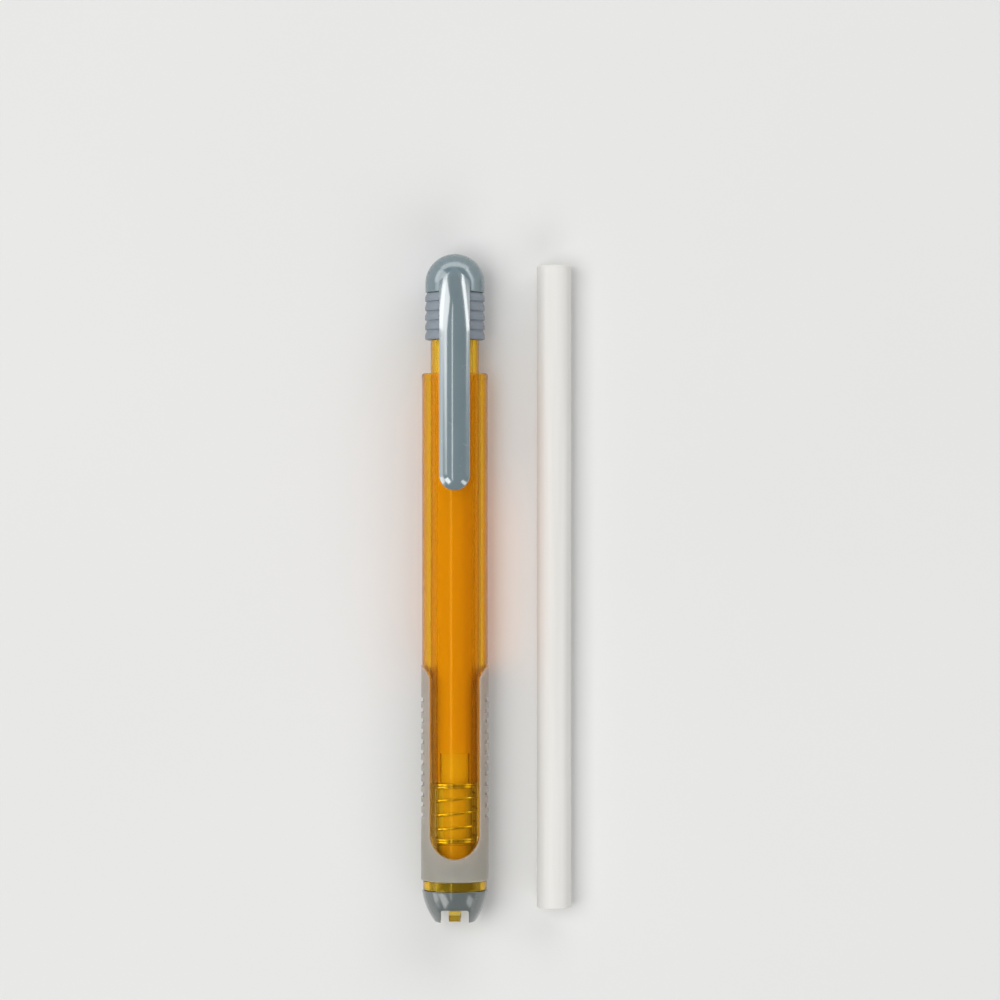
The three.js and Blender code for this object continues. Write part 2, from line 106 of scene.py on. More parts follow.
class Slot(Enum):
    """Material slots of the record."""

    CLEAR_ORANGE = "clear_orange"
    GLOSS_GREY = "gloss_grey"
    RIB_GREY = "rib_grey"
    SOFT_GREY = "soft_grey"
    SPRING_STEEL = "spring_steel"
    ERASER_WHITE = "eraser_white"


class Shown(Enum):
    """What a lamp works on: matt surfaces, which it lights, or gloss, which mirrors it."""

    MATT = "matt"
    GLOSS = "gloss"


class Body(Enum):
    """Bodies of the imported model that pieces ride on."""

    PEN = "pen_body"
    PLUNGER = "plunger"
    UPPER_JAW = "upper_jaw"
    LOWER_JAW = "lower_jaw"
    STICK = "stick"
    SPARE = "spare"


@dataclass(frozen=True)
class Axis:
    """A line along Y that round pieces are turned about, in metres, with the station 0 at tip."""

    x: float
    z: float
    tip: float

    @classmethod
    def of_pen(cls) -> "Axis":
        """The pen's own axis, from the boxes of its grip and nose.

        Returns:
            The axis, with station 0 at the tip of the nose.
        """
        low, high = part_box("grip")
        nose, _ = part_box("nose_cone")
        return cls((low.x + high.x) / 2, (low.z + high.z) / 2, nose.y)

    @classmethod
    def of_spare(cls) -> "Axis":
        """The spare stick's axis, with station 0 at its front end."""
        low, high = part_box("spare_refill")
        return cls((low.x + high.x) / 2, (low.z + high.z) / 2, low.y)

    def place(self, x: Array, station: Array, z: Array) -> Array:
        """Puts points given about the axis into the frame.

        Args:
            x: millimetres to the right of the axis.
            station: millimetres along the axis.
            z: millimetres above the axis.

        Returns:
            The points in metres, with the three coordinates last.
        """
        x, station, z = np.broadcast_arrays(x, station, z)
        return np.stack([self.x + x * MM, self.tip + station * MM, self.z + z * MM], axis=-1)

    def turn(self, radius: Array, station: Array, angle: Array) -> Array:
        """Points at a radius and an angle: x = radius sin(angle), z = radius cos(angle)."""
        return self.place(radius * np.sin(angle), station, radius * np.cos(angle))

    def point(self, station: float, z: float) -> list[float]:
        """One point over the axis, in metres."""
        return self.place(np.array(0.0), np.array(station), np.array(z)).tolist()


def add_object(name: str, data: bpy.types.ID) -> bpy.types.Object:
    """A new object in the scene, at the origin.

    Args:
        name: the object's name.
        data: its mesh, light or camera.

    Returns:
        The object.
    """
    made = bpy.data.objects.new(name, data)
    bpy.context.scene.collection.objects.link(made)
    return made


@dataclass
class Form:
    """Points in metres and four-cornered faces of one closed piece."""

    points: Array
    quads: NDArray[np.int64]

    def joined(self, other: "Form") -> "Form":
        """This form and another as one."""
        quads = np.concatenate([self.quads, other.quads + len(self.points)])
        return Form(np.concatenate([self.points, other.points]), quads)

    def piece(self, name: str) -> bpy.types.Object:
        """Makes the Blender object.

        Args:
            name: the piece's name.

        Returns:
            The object, with doubles merged, faces outwards and sharp edges marked.
        """
        mesh = bpy.data.meshes.new(name)
        mesh.from_pydata(self.points.tolist(), [], self.quads.tolist())
        work = bmesh.new()
        work.from_mesh(mesh)
        bmesh.ops.remove_doubles(work, verts=work.verts, dist=MERGE)
        bmesh.ops.dissolve_degenerate(work, edges=work.edges, dist=MERGE)
        if work.calc_volume(signed=True) < 0:
            bmesh.ops.reverse_faces(work, faces=work.faces)
        work.to_mesh(mesh)
        work.free()
        mesh.polygons.foreach_set("use_smooth", np.ones(len(mesh.polygons), bool))
        mesh.set_sharp_from_angle(angle=math.radians(SHARP_DEGREES))
        return add_object(name, mesh)


def ring_form(points: Array, closed: bool) -> Form:
    """A grid of points whose columns go once round.

    Args:
        points: rows by columns by 3.
        closed: whether the last row meets the first, as on a ring with a bore. If not, both are poles.

    Returns:
        The form, with one face to each cell of the grid.
    """
    rows, columns = points.shape[:2]
    index = np.arange(rows * columns).reshape(rows, columns)
    index = np.concatenate([index, index[:, :1]], axis=1)
    if closed:
        index = np.concatenate([index, index[:1]], axis=0)
    corners = [index[:-1, :-1], index[:-1, 1:], index[1:, 1:], index[1:, :-1]]
    return Form(points.reshape(-1, 3), np.stack(corners, axis=-1).reshape(-1, 4))


def turned(axis: Axis, profile: Array, closed: bool) -> Form:
    """A profile of (radius, station) turned once about an axis, in equal steps of angle.

    Args:
        axis: the line to turn about.
        profile: rows of radius and station in millimetres.
        closed: whether the profile is a loop.

    Returns:
        The turned form.
    """
    angles = np.linspace(0, 2 * np.pi, SEGMENTS, endpoint=False)
    return ring_form(axis.turn(profile[:, :1], profile[:, 1:], angles[None, :]), closed)


def thick_sheet(outer: Array, inner: Array, solid: Mask, wrap: bool) -> Form:
    """Two sheets of points joined into one closed wall.

    Each solid cell of the grid gives a face on the outer sheet and the reverse of it on the inner sheet. Each
    edge between a solid cell and an open one gives a face that goes from sheet to sheet.

    Args:
        outer: the outer sheet, rows by columns by 3.
        inner: the inner sheet, of the same shape.
        solid: which cells are wall.
        wrap: whether the last column meets the first.

    Returns:
        The wall as a form.
    """
    rows, columns = outer.shape[:2]
    o = np.arange(rows * columns).reshape(rows, columns)
    if wrap:
        o = np.concatenate([o, o[:, :1]], axis=1)
    i = o + rows * columns
    framed = np.pad(solid, ((1, 1), (0, 0)))
    starts = framed[1:] & ~framed[:-1]
    ends = framed[:-1] & ~framed[1:]
    beside = np.pad(solid, ((0, 0), (1, 1)), mode="wrap" if wrap else "constant")
    opens = beside[:, 1:] & ~beside[:, :-1]
    closes = beside[:, :-1] & ~beside[:, 1:]
    if wrap:
        opens[:, -1] = False
        closes[:, -1] = False
    quads = [
        np.stack([o[:-1, :-1], o[:-1, 1:], o[1:, 1:], o[1:, :-1]], -1)[solid],
        np.stack([i[:-1, :-1], i[1:, :-1], i[1:, 1:], i[:-1, 1:]], -1)[solid],
        np.stack([o[:, 1:], o[:, :-1], i[:, :-1], i[:, 1:]], -1)[starts],
        np.stack([o[:, :-1], o[:, 1:], i[:, 1:], i[:, :-1]], -1)[ends],
        np.stack([o[:-1], o[1:], i[1:], i[:-1]], -1)[opens],
        np.stack([o[1:], o[:-1], i[:-1], i[1:]], -1)[closes],
    ]
    points = np.concatenate([outer.reshape(-1, 3), inner.reshape(-1, 3)])
    used, kept = np.unique(np.concatenate(quads), return_inverse=True)
    return Form(points[used], kept.reshape(-1, 4))


def rounded(corners: list[Triple], closed: bool) -> Array:
    """A profile through corners whose points are softened.

    Each corner becomes the parabola that touches both of its edges at the rounding's distance from it. One
    more point on each edge keeps the straight faces straight when they are shaded.

    Args:
        corners: radius, station and rounding of each corner, in millimetres.
        closed: whether the last corner is joined to the first.

    Returns:
        Rows of radius and station.
    """
    table = np.array(corners, float)
    spot = table[:, :2]
    back = np.roll(spot, 1, axis=0) - spot
    ahead = np.roll(spot, -1, axis=0) - spot
    if not closed:
        back[0] = ahead[-1] = 0.0
    length = np.linalg.norm(np.stack([back, ahead]), axis=-1)
    safe = np.maximum(length, LEAST_EDGE)[..., None]
    back, ahead = back / safe[0], ahead / safe[1]
    shortest = length.min(axis=0)
    reach = np.minimum(table[:, 2], ROUND_SHARE * shortest)[:, None, None]
    stay = np.minimum(STRAIGHT_REACH * table[:, 2], STRAIGHT_SHARE * shortest)[:, None, None]
    t = np.linspace(0, 1, ROUND_POINTS)[None, :, None]
    arc = spot[:, None] + reach * ((1 - t) ** 2 * back[:, None] + t**2 * ahead[:, None])
    first = spot[:, None] + stay * back[:, None]
    last = spot[:, None] + stay * ahead[:, None]
    return np.concatenate([first, arc, last], axis=1).reshape(-1, 2)


def parabola(share: Array, start: Array, corner: Array, end: Array) -> Array:
    """Points at shares of the parabola that sets out for a corner and comes from there to its end."""
    return (1 - share) ** 2 * start + 2 * share * (1 - share) * corner + share**2 * end


def quarter(size: float, count: int) -> Array:
    """Distances from an edge to the points of its quarter-circle rounding, in equal steps of angle."""
    return size * (1 - np.cos(np.linspace(0, np.pi / 2, count)))


def eased(depth: Array, size: float) -> Array:
    """Drop of an edge rounded by a quarter circle: its size at the edge, and nothing that far in."""
    short = np.clip(size - depth, 0, size)
    return size - np.sqrt(size**2 - short**2)


def plumb(x: Array, radius: Array, angle: Array) -> Array:
    """Height of points at x on circles of a radius, above the axis or below it as the angle is."""
    return np.sign(np.cos(angle)) * np.sqrt(np.maximum(radius**2 - x**2, 0))


def side_shares(strip: float, count: int) -> Array:
    """Shares across a side from 0 to 1, close together in a strip of that width at both edges."""
    near = strip * STRIP_SHARES
    return np.concatenate([near, np.linspace(strip, 1 - strip, count)[1:-1], 1 - near[::-1]])


@dataclass(frozen=True)
class RingColumns:
    """Columns round the pen that follow the edges of two openings, one at the top and one at the bottom.

    A column's angle is base + slope * half, where half is half the angle of the opening at that row. Columns
    inside an opening close up as it narrows, and those of the two sides spread out.
    """

    base: Array
    slope: Array
    at_side: Mask

    @classmethod
    def between(cls, across: Array, side: Array) -> "RingColumns":
        """Sets the columns out.

        Args:
            across: shares of an opening's half angle, from 0 upwards, where columns stand inside it.
            side: shares of a side, from 0 to 1, where columns stand on it.

        Returns:
            The columns, in the order of their angles.
        """
        mirrored = np.concatenate([-across[:0:-1], across])
        side_slope = 1 - 2 * side
        top, bottom = 0 * across, np.pi + 0 * mirrored
        base = [top, np.pi * side, bottom, np.pi * (1 + side), 2 * np.pi + top[1:]]
        slope = [across, side_slope, mirrored, side_slope, -across[:0:-1]]
        beside = (False, True, False, True, False)
        flags = [np.full(len(part), flag) for part, flag in zip(base, beside)]
        return cls(np.concatenate(base), np.concatenate(slope), np.concatenate(flags))

    def angles(self, half: Array) -> Array:
        """The columns' angles for each row's half opening, rows by columns."""
        return self.base[None, :] + self.slope[None, :] * half[:, None]

    def settled(self, angle: Array, share: Array) -> Array:
        """Angles carried by each row's share towards equal steps all round."""
        even = np.linspace(0, 2 * np.pi, len(self.base), endpoint=False)
        return angle + (even - angle) * share[:, None]

    def wall(self, outer: Array, inner: Array, whole: Mask) -> Form:
        """A closed wall between two sheets of points on these columns.

        Args:
            outer: the outer sheet, rows by columns by 3.
            inner: the inner sheet, of the same shape.
            whole: which rows of cells go all round. The others are wall at the two sides alone.

        Returns:
            The wall as a form.
        """
        at_sides = self.at_side & np.roll(self.at_side, -1)
        return thick_sheet(outer, inner, whole[:, None] | at_sides, wrap=True)


@dataclass(frozen=True)
class GripWindow:
    """The U-shaped opening of the grip from above: round at its front, flared between two horns behind."""

    front: float = 12.75
    half_width: float = 4.82
    flare_start: float = 47.4
    rear: float = 50.4
    horn: float = 6.63

    @property
    def centre(self) -> float:
        """Station of the middle of the round front."""
        return self.front + self.half_width

    def half(self, station: Array, inset: float) -> Array:
        """Half the width: a half circle, then a straight, then a parabola out to the horns.

        Args:
            station: millimetres along the pen.
            inset: how far the edge is drawn in, in millimetres.

        Returns:
            Half the width at each station.
        """
        width = self.half_width - inset
        ahead = np.clip(self.centre - station, 0, width)
        flare = np.clip((station - self.flare_start) / (self.rear - self.flare_start), 0, 1)
        return np.sqrt(width**2 - ahead**2) + (self.horn - inset - width) * flare**2

    def depth(self, x: Array, station: Array, inset: float) -> Array:
        """How far points lie inside the edge: in radius at the round front and in width behind it.

        Args:
            x: millimetres to the right of the axis.
            station: millimetres along the pen.
            inset: how far the edge is drawn in, in millimetres.

        Returns:
            The depths, which are negative outside.
        """
        at_end = self.half_width - inset - np.hypot(x, self.centre - station)
        return np.where(station < self.centre, at_end, self.half(station, inset) - np.abs(x))

    def round_stations(self, inset: float, count: int) -> Array:
        """Stations of the round front, in equal steps of angle from its tip."""
        turn = np.linspace(0, np.pi / 2, count)
        return self.centre - (self.half_width - inset) * np.cos(turn)


@dataclass(frozen=True)
class Grain:
    """A noise: grains to the metre, octaves, and factors of which a small one draws it out along its axis."""

    scale: float
    detail: float = 3.0
    stretch: Triple = (1, 1, 1)


class Wiring:
    """A material's node tree with short ways to add the nodes that the finishes share."""

    def __init__(self, name: str) -> None:
        """Starts a material with a Principled shader and Object coordinates.

        Args:
            name: the material's name.
        """
        self.material = bpy.data.materials.new(name)
        self.material.use_nodes = True
        self.tree = self.material.node_tree
        self.shader = self.tree.nodes["Principled BSDF"]
        self.output = self.tree.nodes["Material Output"]
        self.coordinates = self.tree.nodes.new("ShaderNodeTexCoord").outputs["Object"]

    def add(self, kind: str, **values: object) -> bpy.types.Node:
        """Adds a node.

        Args:
            kind: Blender's name for it.
            values: what its sockets are set to; an underscore stands for a space.

        Returns:
            The node.
        """
        node = self.tree.nodes.new(kind)
        for key, value in values.items():
            node.inputs[key.replace("_", " ")].default_value = value
        return node

    def set(self, **values: object) -> None:
        """Sets the shader's own sockets; an underscore stands for a space."""
        for key, value in values.items():
            self.shader.inputs[key.replace("_", " ")].default_value = value

    def link(self, start: Socket, end: Socket) -> None:
        """Joins two sockets."""
        self.tree.links.new(start, end)

    def feed(self, value: Socket, name: str) -> None:
        """Joins a value to one of the shader's own sockets."""
        self.link(value, self.shader.inputs[name])

    def noise(self, grain: Grain) -> Socket:
        """Adds a noise on Object coordinates.

        Args:
            grain: its sizes.

        Returns:
            The socket of its value.
        """
        mapping = self.add("ShaderNodeMapping", Scale=grain.stretch)
        self.link(self.coordinates, mapping.inputs["Vector"])
        noise = self.add("ShaderNodeTexNoise", Scale=grain.scale, Detail=grain.detail)
        self.link(mapping.outputs["Vector"], noise.inputs["Vector"])
        return noise.outputs["Fac"]

    def carried(self, value: Socket, start: Span, end: Span) -> bpy.types.Node:
        """Carries a value from one range of numbers to another in a straight line.

        Args:
            value: the value.
            start: the range that it comes from.
            end: the range that it goes to.

        Returns:
            The node.
        """
        ranges = dict(zip(("From_Min", "From_Max", "To_Min", "To_Max"), (*start, *end)))
        node = self.add("ShaderNodeMapRange", **ranges)
        self.link(value, node.inputs["Value"])
        return node

    def climb(self, heights: Span, numbers: Span) -> Socket:
        """Adds a number that goes smoothly from one value to another between two heights.

        Args:
            heights: the lower and the upper height, in metres in the frame.
            numbers: the numbers under the one and over the other.

        Returns:
            The socket of the number.
        """
        parts = self.add("ShaderNodeSeparateXYZ")
        self.link(self.coordinates, parts.inputs["Vector"])
        node = self.carried(parts.outputs["Z"], heights, numbers)
        node.interpolation_type = "SMOOTHSTEP"
        return node.outputs["Result"]

    def paint(self, value: Socket, shade: Triple, colour: Triple) -> None:
        """Gives the surface a colour between two, by a noise.

        Args:
            value: the noise.
            shade: the colour where it is low.
            colour: the colour where it is high.
        """
        ramp = self.add("ShaderNodeValToRGB")
        for stop, position, tone in zip(ramp.color_ramp.elements, NOISE_RANGE, (shade, colour)):
            stop.position = position
            stop.color = (*tone, 1)
        self.link(value, ramp.inputs["Fac"])
        self.feed(ramp.outputs["Color"], "Base Color")

    def polish(self, value: Socket, roughness: Span) -> None:
        """Gives the surface a roughness within a range, by a noise."""
        self.feed(self.carried(value, NOISE_RANGE, roughness).outputs["Result"], "Roughness")

    def bump(self, value: Socket, height: float, strength: float) -> None:
        """Raises the surface by a value.

        Args:
            value: the height's pattern.
            height: metres from its lowest to its highest.
            strength: share of the effect.
        """
        node = self.add("ShaderNodeBump", Distance=height, Strength=strength)
        self.link(value, node.inputs["Height"])
        self.feed(node.outputs["Normal"], "Normal")

    def mix(self, first: Socket, second: Socket) -> bpy.types.Node:
        """Adds a mix of two shaders.

        Args:
            first: the shader that a factor of 0 gives.
            second: the shader that a factor of 1 gives.

        Returns:
            The node, whose factor is still to be set.
        """
        node = self.add("ShaderNodeMixShader")
        self.link(first, node.inputs[1])
        self.link(second, node.inputs[2])
        return node


@dataclass(frozen=True)
class ClearPlastic:
    """Tinted clear moulding that takes up light by its depth."""

    name: str
    keep: Triple = (0.978, 0.861, 0.05)
    density: float = 1350.0
    through: float = 0.97
    roughness: Span = (0.03, 0.07)
    cloud: Grain = Grain(260.0, 2.0, (1, 0.12, 1))
    index: float = 1.47
    haze: float = 0.04
    haze_colour: Triple = (1.0, 0.5, 0.02)
    shine: Triple = (1.0, 0.8, 0.2)

    def material(self) -> bpy.types.Material:
        """Cloudy glass with a plain absorption, that lets a share of the lamps' light straight through.

        Returns:
            The material.
        """
        wiring = Wiring(self.name)
        wiring.set(Base_Color=(1, 1, 1, 1), Transmission_Weight=1.0, IOR=self.index)
        wiring.set(Specular_Tint=(*self.shine, 1))
        wiring.polish(wiring.noise(self.cloud), self.roughness)
        haze = wiring.add("ShaderNodeBsdfDiffuse", Color=(*self.haze_colour, 1))
        hazy = wiring.mix(wiring.shader.outputs["BSDF"], haze.outputs["BSDF"])
        hazy.inputs["Fac"].default_value = self.haze
        clear = (self.through, self.through, self.through, 1)
        straight = wiring.add("ShaderNodeBsdfTransparent", Color=clear)
        lit = wiring.mix(hazy.outputs["Shader"], straight.outputs["BSDF"])
        path = wiring.add("ShaderNodeLightPath")
        wiring.link(path.outputs["Is Shadow Ray"], lit.inputs["Fac"])
        wiring.link(lit.outputs["Shader"], wiring.output.inputs["Surface"])
        volume = wiring.add("ShaderNodeVolumeAbsorption", Color=(*self.keep, 1), Density=self.density)
        wiring.link(volume.outputs["Volume"], wiring.output.inputs["Volume"])
        return wiring.material


@dataclass(frozen=True)
class Wear:
    """Where a thumb has dulled a moulding: the coat thins out between two heights over an axis."""

    axis: Axis
    low: float = 4.9
    high: float = 6.4
    coat: float = 0.3

    def heights(self) -> Span:
        """The two heights in the frame, in metres."""
        return self.axis.z + self.low * MM, self.axis.z + self.high * MM


@dataclass(frozen=True)
class MouldedPlastic:
    """Opaque moulding with a faint orange peel and slightly uneven colour and gloss."""

    name: str
    colour: Triple
    shade: Triple
    roughness: Span = (0.2, 0.28)
    index: float = 1.5
    coat: float = 1.0
    coat_index: float = 1.5
    coat_roughness: float = 0.14
    cloud: Grain = Grain(180.0)
    gloss: Grain = Grain(700.0)
    peel: Grain = Grain(900.0, 2.0)
    relief: float = 0.00001
    relief_share: float = 0.3
    wear: Wear | None = None

    def material(self) -> bpy.types.Material:
        """Colour and gloss vary over some millimetres, and the relief over tenths.

        Returns:
            The material.
        """
        wiring = Wiring(self.name)
        wiring.set(IOR=self.index, Coat_IOR=self.coat_index)
        wiring.set(Coat_Weight=self.coat, Coat_Roughness=self.coat_roughness)
        if self.wear:
            wiring.feed(wiring.climb(self.wear.heights(), (self.wear.coat, self.coat)), "Coat Weight")
        wiring.paint(wiring.noise(self.cloud), self.shade, self.colour)
        wiring.polish(wiring.noise(self.gloss), self.roughness)
        wiring.bump(wiring.noise(self.peel), self.relief, self.relief_share)
        return wiring.material


@dataclass(frozen=True)
class SoftRubber:
    """Soft satin grip: fine grain, a little sheen and slightly cloudy colour."""

    name: str
    colour: Triple = (0.384, 0.366, 0.316)
    shade: Triple = (0.352, 0.336, 0.29)
    roughness: Span = (0.42, 0.58)
    index: float = 1.47
    sheen: float = 0.08
    sheen_roughness: float = 0.4
    depth: float = 0.0045
    depth_by_colour: Triple = (1.0, 0.8, 0.6)
    cloud: Grain = Grain(140.0, stretch=(1, 0.5, 1))
    gloss: Grain = Grain(900.0)
    grain: Grain = Grain(6500.0, 2.0)
    relief: float = 0.00002
    relief_share: float = 0.5

    def material(self) -> bpy.types.Material:
        """Cloudy colour that light goes some millimetres into, with a grain of about a tenth.

        Returns:
            The material.
        """
        wiring = Wiring(self.name)
        wiring.set(IOR=self.index, Sheen_Weight=self.sheen, Sheen_Roughness=self.sheen_roughness)
        wiring.set(Subsurface_Weight=1.0, Subsurface_Radius=self.depth_by_colour, Subsurface_Scale=self.depth)
        wiring.paint(wiring.noise(self.cloud), self.shade, self.colour)
        wiring.polish(wiring.noise(self.gloss), self.roughness)
        wiring.bump(wiring.noise(self.grain), self.relief, self.relief_share)
        return wiring.material


@dataclass(frozen=True)
class SpringWire:
    """Drawn steel wire with an uneven bright surface."""

    name: str
    colour: Triple = (0.9, 0.88, 0.84)
    shade: Triple = (0.7, 0.68, 0.63)
    roughness: Span = (0.1, 0.2)
    patch: Grain = Grain(1400.0)
    grain: Grain = Grain(5200.0, 2.0)
    relief: float = 0.000008
    relief_share: float = 0.3

    def material(self) -> bpy.types.Material:
        """Metal with dull and bright patches along the wire.

        Returns:
            The material.
        """
        wiring = Wiring(self.name)
        wiring.set(Metallic=1.0)
        patch = wiring.noise(self.patch)
        wiring.paint(patch, self.shade, self.colour)
        wiring.polish(patch, self.roughness)
        wiring.bump(wiring.noise(self.grain), self.relief, self.relief_share)
        return wiring.material


@dataclass(frozen=True)
class EraserVinyl:
    """White vinyl eraser: matt, with faint streaks along the extrusion and fine dust grain."""

    name: str
    colour: Triple = (0.83, 0.82, 0.79)
    shade: Triple = (0.78, 0.765, 0.73)
    roughness: Span = (0.5, 0.66)
    index: float = 1.52
    mirror: float = 0.4
    streak: Grain = Grain(650.0, stretch=(1, 0.03, 1))
    grain: Grain = Grain(3800.0)
    relief: float = 0.000015
    relief_share: float = 0.35

    def material(self) -> bpy.types.Material:
        """Streaks are drawn out along Y; the grain is even.

        Returns:
            The material.
        """
        wiring = Wiring(self.name)
        wiring.set(IOR=self.index, Specular_IOR_Level=self.mirror)
        wiring.paint(wiring.noise(self.streak), self.shade, self.colour)
        grain = wiring.noise(self.grain)
        wiring.polish(grain, self.roughness)
        wiring.bump(grain, self.relief, self.relief_share)
        return wiring.material


@dataclass(frozen=True)
class PaleFloor:
    """Plain pale table top."""

    name: str
    colour: Triple = (0.8, 0.8, 0.79)
    shade: Triple = (0.785, 0.785, 0.775)
    roughness: float = 0.85
    mirror: float = 0.2
    cloud: Grain = Grain(9.0, 2.0)

    def material(self) -> bpy.types.Material:
        """Almost even, with a very faint cloud.

        Returns:
            The material.
        """
        wiring = Wiring(self.name)
        wiring.set(Roughness=self.roughness, Specular_IOR_Level=self.mirror)
        wiring.paint(wiring.noise(self.cloud), self.shade, self.colour)
        return wiring.material


class Finishes:
    """The finishes of the pen, each made once."""

    def __init__(self, pen: Axis) -> None:
        """Makes every material.

        Args:
            pen: the pen's axis, which the cap's wear is measured from.
        """
        self.clear = ClearPlastic("clear_orange_plastic").material()
        self.gloss = MouldedPlastic(
            "gloss_grey_plastic",
            colour=(0.147, 0.222, 0.251),
            shade=(0.135, 0.205, 0.232),
            coat_index=2.85,
            wear=Wear(pen),
        ).material()
        self.nose = MouldedPlastic(
            "gloss_nose_plastic",
            colour=(0.11, 0.133, 0.13),
            shade=(0.1, 0.121, 0.118),
            coat_index=1.68,
        ).material()
        self.rib = MouldedPlastic(
            "satin_rib_plastic",
            colour=(0.258, 0.297, 0.341),
            shade=(0.236, 0.273, 0.319),
            roughness=(0.42, 0.55),
            coat=0.0,
            peel=Grain(2600.0, 2.0),
            relief=0.00002,
        ).material()
        self.grip = SoftRubber("soft_grip_rubber").material()
        self.wire = SpringWire("spring_wire").material()
        self.vinyl = EraserVinyl("white_eraser_vinyl").material()


def dress(made: bpy.types.Object, material: bpy.types.Material, body: Body, node: str) -> None:
    """Finishes a piece and hands it to the frame.

    Args:
        made: the new piece.
        material: its finish.
        body: what it rides on.
        node: the node that it stands for.
    """
    made.data.materials.append(material)
    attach(made, body.value)
    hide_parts(node)
    LOG.info("%s stands for %s: %d faces", made.name, node, len(made.data.polygons))


@dataclass
class Barrel:
    """Clear outer tube with the collar, the nose socket, the spring's flange and the window's tongue."""

    axis: Axis
    window: GripWindow
    bore: float = 4.9
    outer: float = 6.45
    rim: float = 6.51
    seat: float = 5.82
    socket: float = 5.12
    collar: float = 6.26
    flange: float = 4.42
    front: float = 6.4
    seat_front: float = 8.1
    seat_rear: float = 50.5
    spring_seat: float = 15.4
    flange_front: float = 11.9
    rear: float = 107.6
    gap: float = 0.04
    edge: float = 0.12
    settle: float = 14.0
    least_half: float = math.radians(3)
    most_half: float = math.radians(88)
    collar_round: float = 0.25
    collar_edge: float = 0.06
    rim_length: float = 1.14
    rim_foot: float = 1.2
    rim_edge: float = 0.02
    rim_round: float = 0.4
    mouth_round: float = 0.12

    # Where runs of rows begin or end, as distances from the edge beside them
    socket_lead: float = 0.2
    seat_lead: float = 0.5
    seat_rows_lead: float = 0.6
    rim_lead: float = 1.25
    tail_lead: float = 1.3

    # Numbers of rows and columns, and the steps of the tongue's columns in from its edge, as shares
    seat_rows: int = 12
    round_rows: int = 26
    run_rows: int = 14
    tail_rows: int = 50
    tongue_columns: int = 20
    side_columns: int = 41
    edge_steps: tuple[float, ...] = (0, 0.004, 0.006, 0.009, 0.0136, 0.02, 0.03)

    def nose_end(self) -> Array:
        """Profile from the socket round the collar and down to the seat.

        Returns:
            Rows of radius and station.
        """
        return rounded(
            [
                (self.socket, self.front, SHARP),
                (self.collar, self.front, self.collar_round),
                (self.collar, self.seat_front, self.collar_edge),
                (self.seat, self.seat_front, FINE),
                (self.seat, self.seat_front + self.seat_lead, SHARP),
            ],
            closed=False,
        )

    def rear_end(self) -> Array:
        """Profile round the rim and back along the bore and the flange to the socket.

        Returns:
            Rows of radius and station.
        """
        return rounded(
            [
                (self.outer, self.rear - self.rim_lead, SHARP),
                (self.outer, self.rear - self.rim_foot, self.rim_edge),
                (self.rim, self.rear - self.rim_length, self.rim_edge),
                (self.rim, self.rear, self.rim_round),
                (self.bore, self.rear, self.mouth_round),
                (self.bore, self.spring_seat, SOFT),
                (self.flange, self.spring_seat, SOFT),
                (self.flange, self.flange_front, SOFT),
                (self.socket, self.flange_front, FINE),
                (self.socket, self.front + self.socket_lead, SHARP),
            ],
            closed=False,
        )

    def tongue_stations(self) -> Array:
        """Rows along the tongue: its round front, its straight run and its flare.

        Returns:
            The stations.
        """
        window = self.window
        runs = [
            window.round_stations(self.gap, self.round_rows),
            np.linspace(window.centre, window.flare_start, self.run_rows)[1:],
            np.linspace(window.flare_start, window.rear, self.run_rows)[1:],
        ]
        return np.concatenate(runs)

    def columns(self) -> RingColumns:
        """Columns that close up towards the tongue's edge and stand in equal steps at the sides.

        Returns:
            The columns.
        """
        close = 1 - np.cumsum(self.edge_steps)[::-1]
        across = np.concatenate([np.linspace(0, close[0], self.tongue_columns)[:-1], close])
        return RingColumns.between(across, np.linspace(0, 1, self.side_columns))

    def form(self) -> Form:
        """The tube as one closed wall.

        The rows run along the outside from the socket to the rim and back along the bore. Between the seat's
        ends the columns follow the tongue: inside its outline the radius is the tube's own less the rounded
        edge, and beside it the radius is the seat's. Elsewhere the columns settle into equal steps.

        Returns:
            The closed form.
        """
        nose_end, tongue, rear_end = self.nose_end(), self.tongue_stations(), self.rear_end()
        tip = self.window.front + self.gap
        seat = np.linspace(self.seat_front + self.seat_rows_lead, tip, self.seat_rows)
        tail = np.linspace(self.seat_rear, self.rear - self.tail_lead, self.tail_rows)
        station = np.concatenate([nose_end[:, 1], seat, tongue, tail, rear_end[:, 1]])
        beside = np.concatenate(
            [
                nose_end[:, 0],
                np.full(len(seat) + len(tongue), self.seat),
                np.full(len(tail), self.outer),
                rear_end[:, 0],
            ]
        )
        columns = self.columns()
        half = np.arcsin(np.clip(self.window.half(station, self.gap) / self.outer, 0, 1))
        angle = columns.angles(np.clip(half, self.least_half, self.most_half))
        to_window = np.clip((seat - seat[0]) / (seat[-1] - seat[0]), 0, 1)
        from_window = np.clip((tail - tail[0]) / self.settle, 0, 1)
        even = [
            np.ones(len(nose_end)),
            1 - to_window,
            np.zeros(len(tongue)),
            from_window * from_window * (3 - 2 * from_window),
            np.ones(len(rear_end)),
        ]
        angle = columns.settled(angle, np.concatenate(even))
        radius = np.repeat(beside[:, None], angle.shape[1], axis=1)
        first = len(nose_end) + len(seat)
        proud = slice(first, first + len(tongue))
        depth = self.window.depth(self.outer * np.sin(angle[proud]), tongue[:, None], self.gap)
        raised = self.outer - eased(np.maximum(depth, 0), self.edge)
        radius[proud] = np.where(columns.at_side[None, :], radius[proud], raised)
        return ring_form(self.axis.turn(radius, station[:, None], angle), closed=True)

    def build(self, finishes: Finishes) -> None:
        """Makes and dresses the barrel."""
        made = self.form().piece("clear_barrel")
        dress(made, finishes.clear, Body.PEN, "barrel")


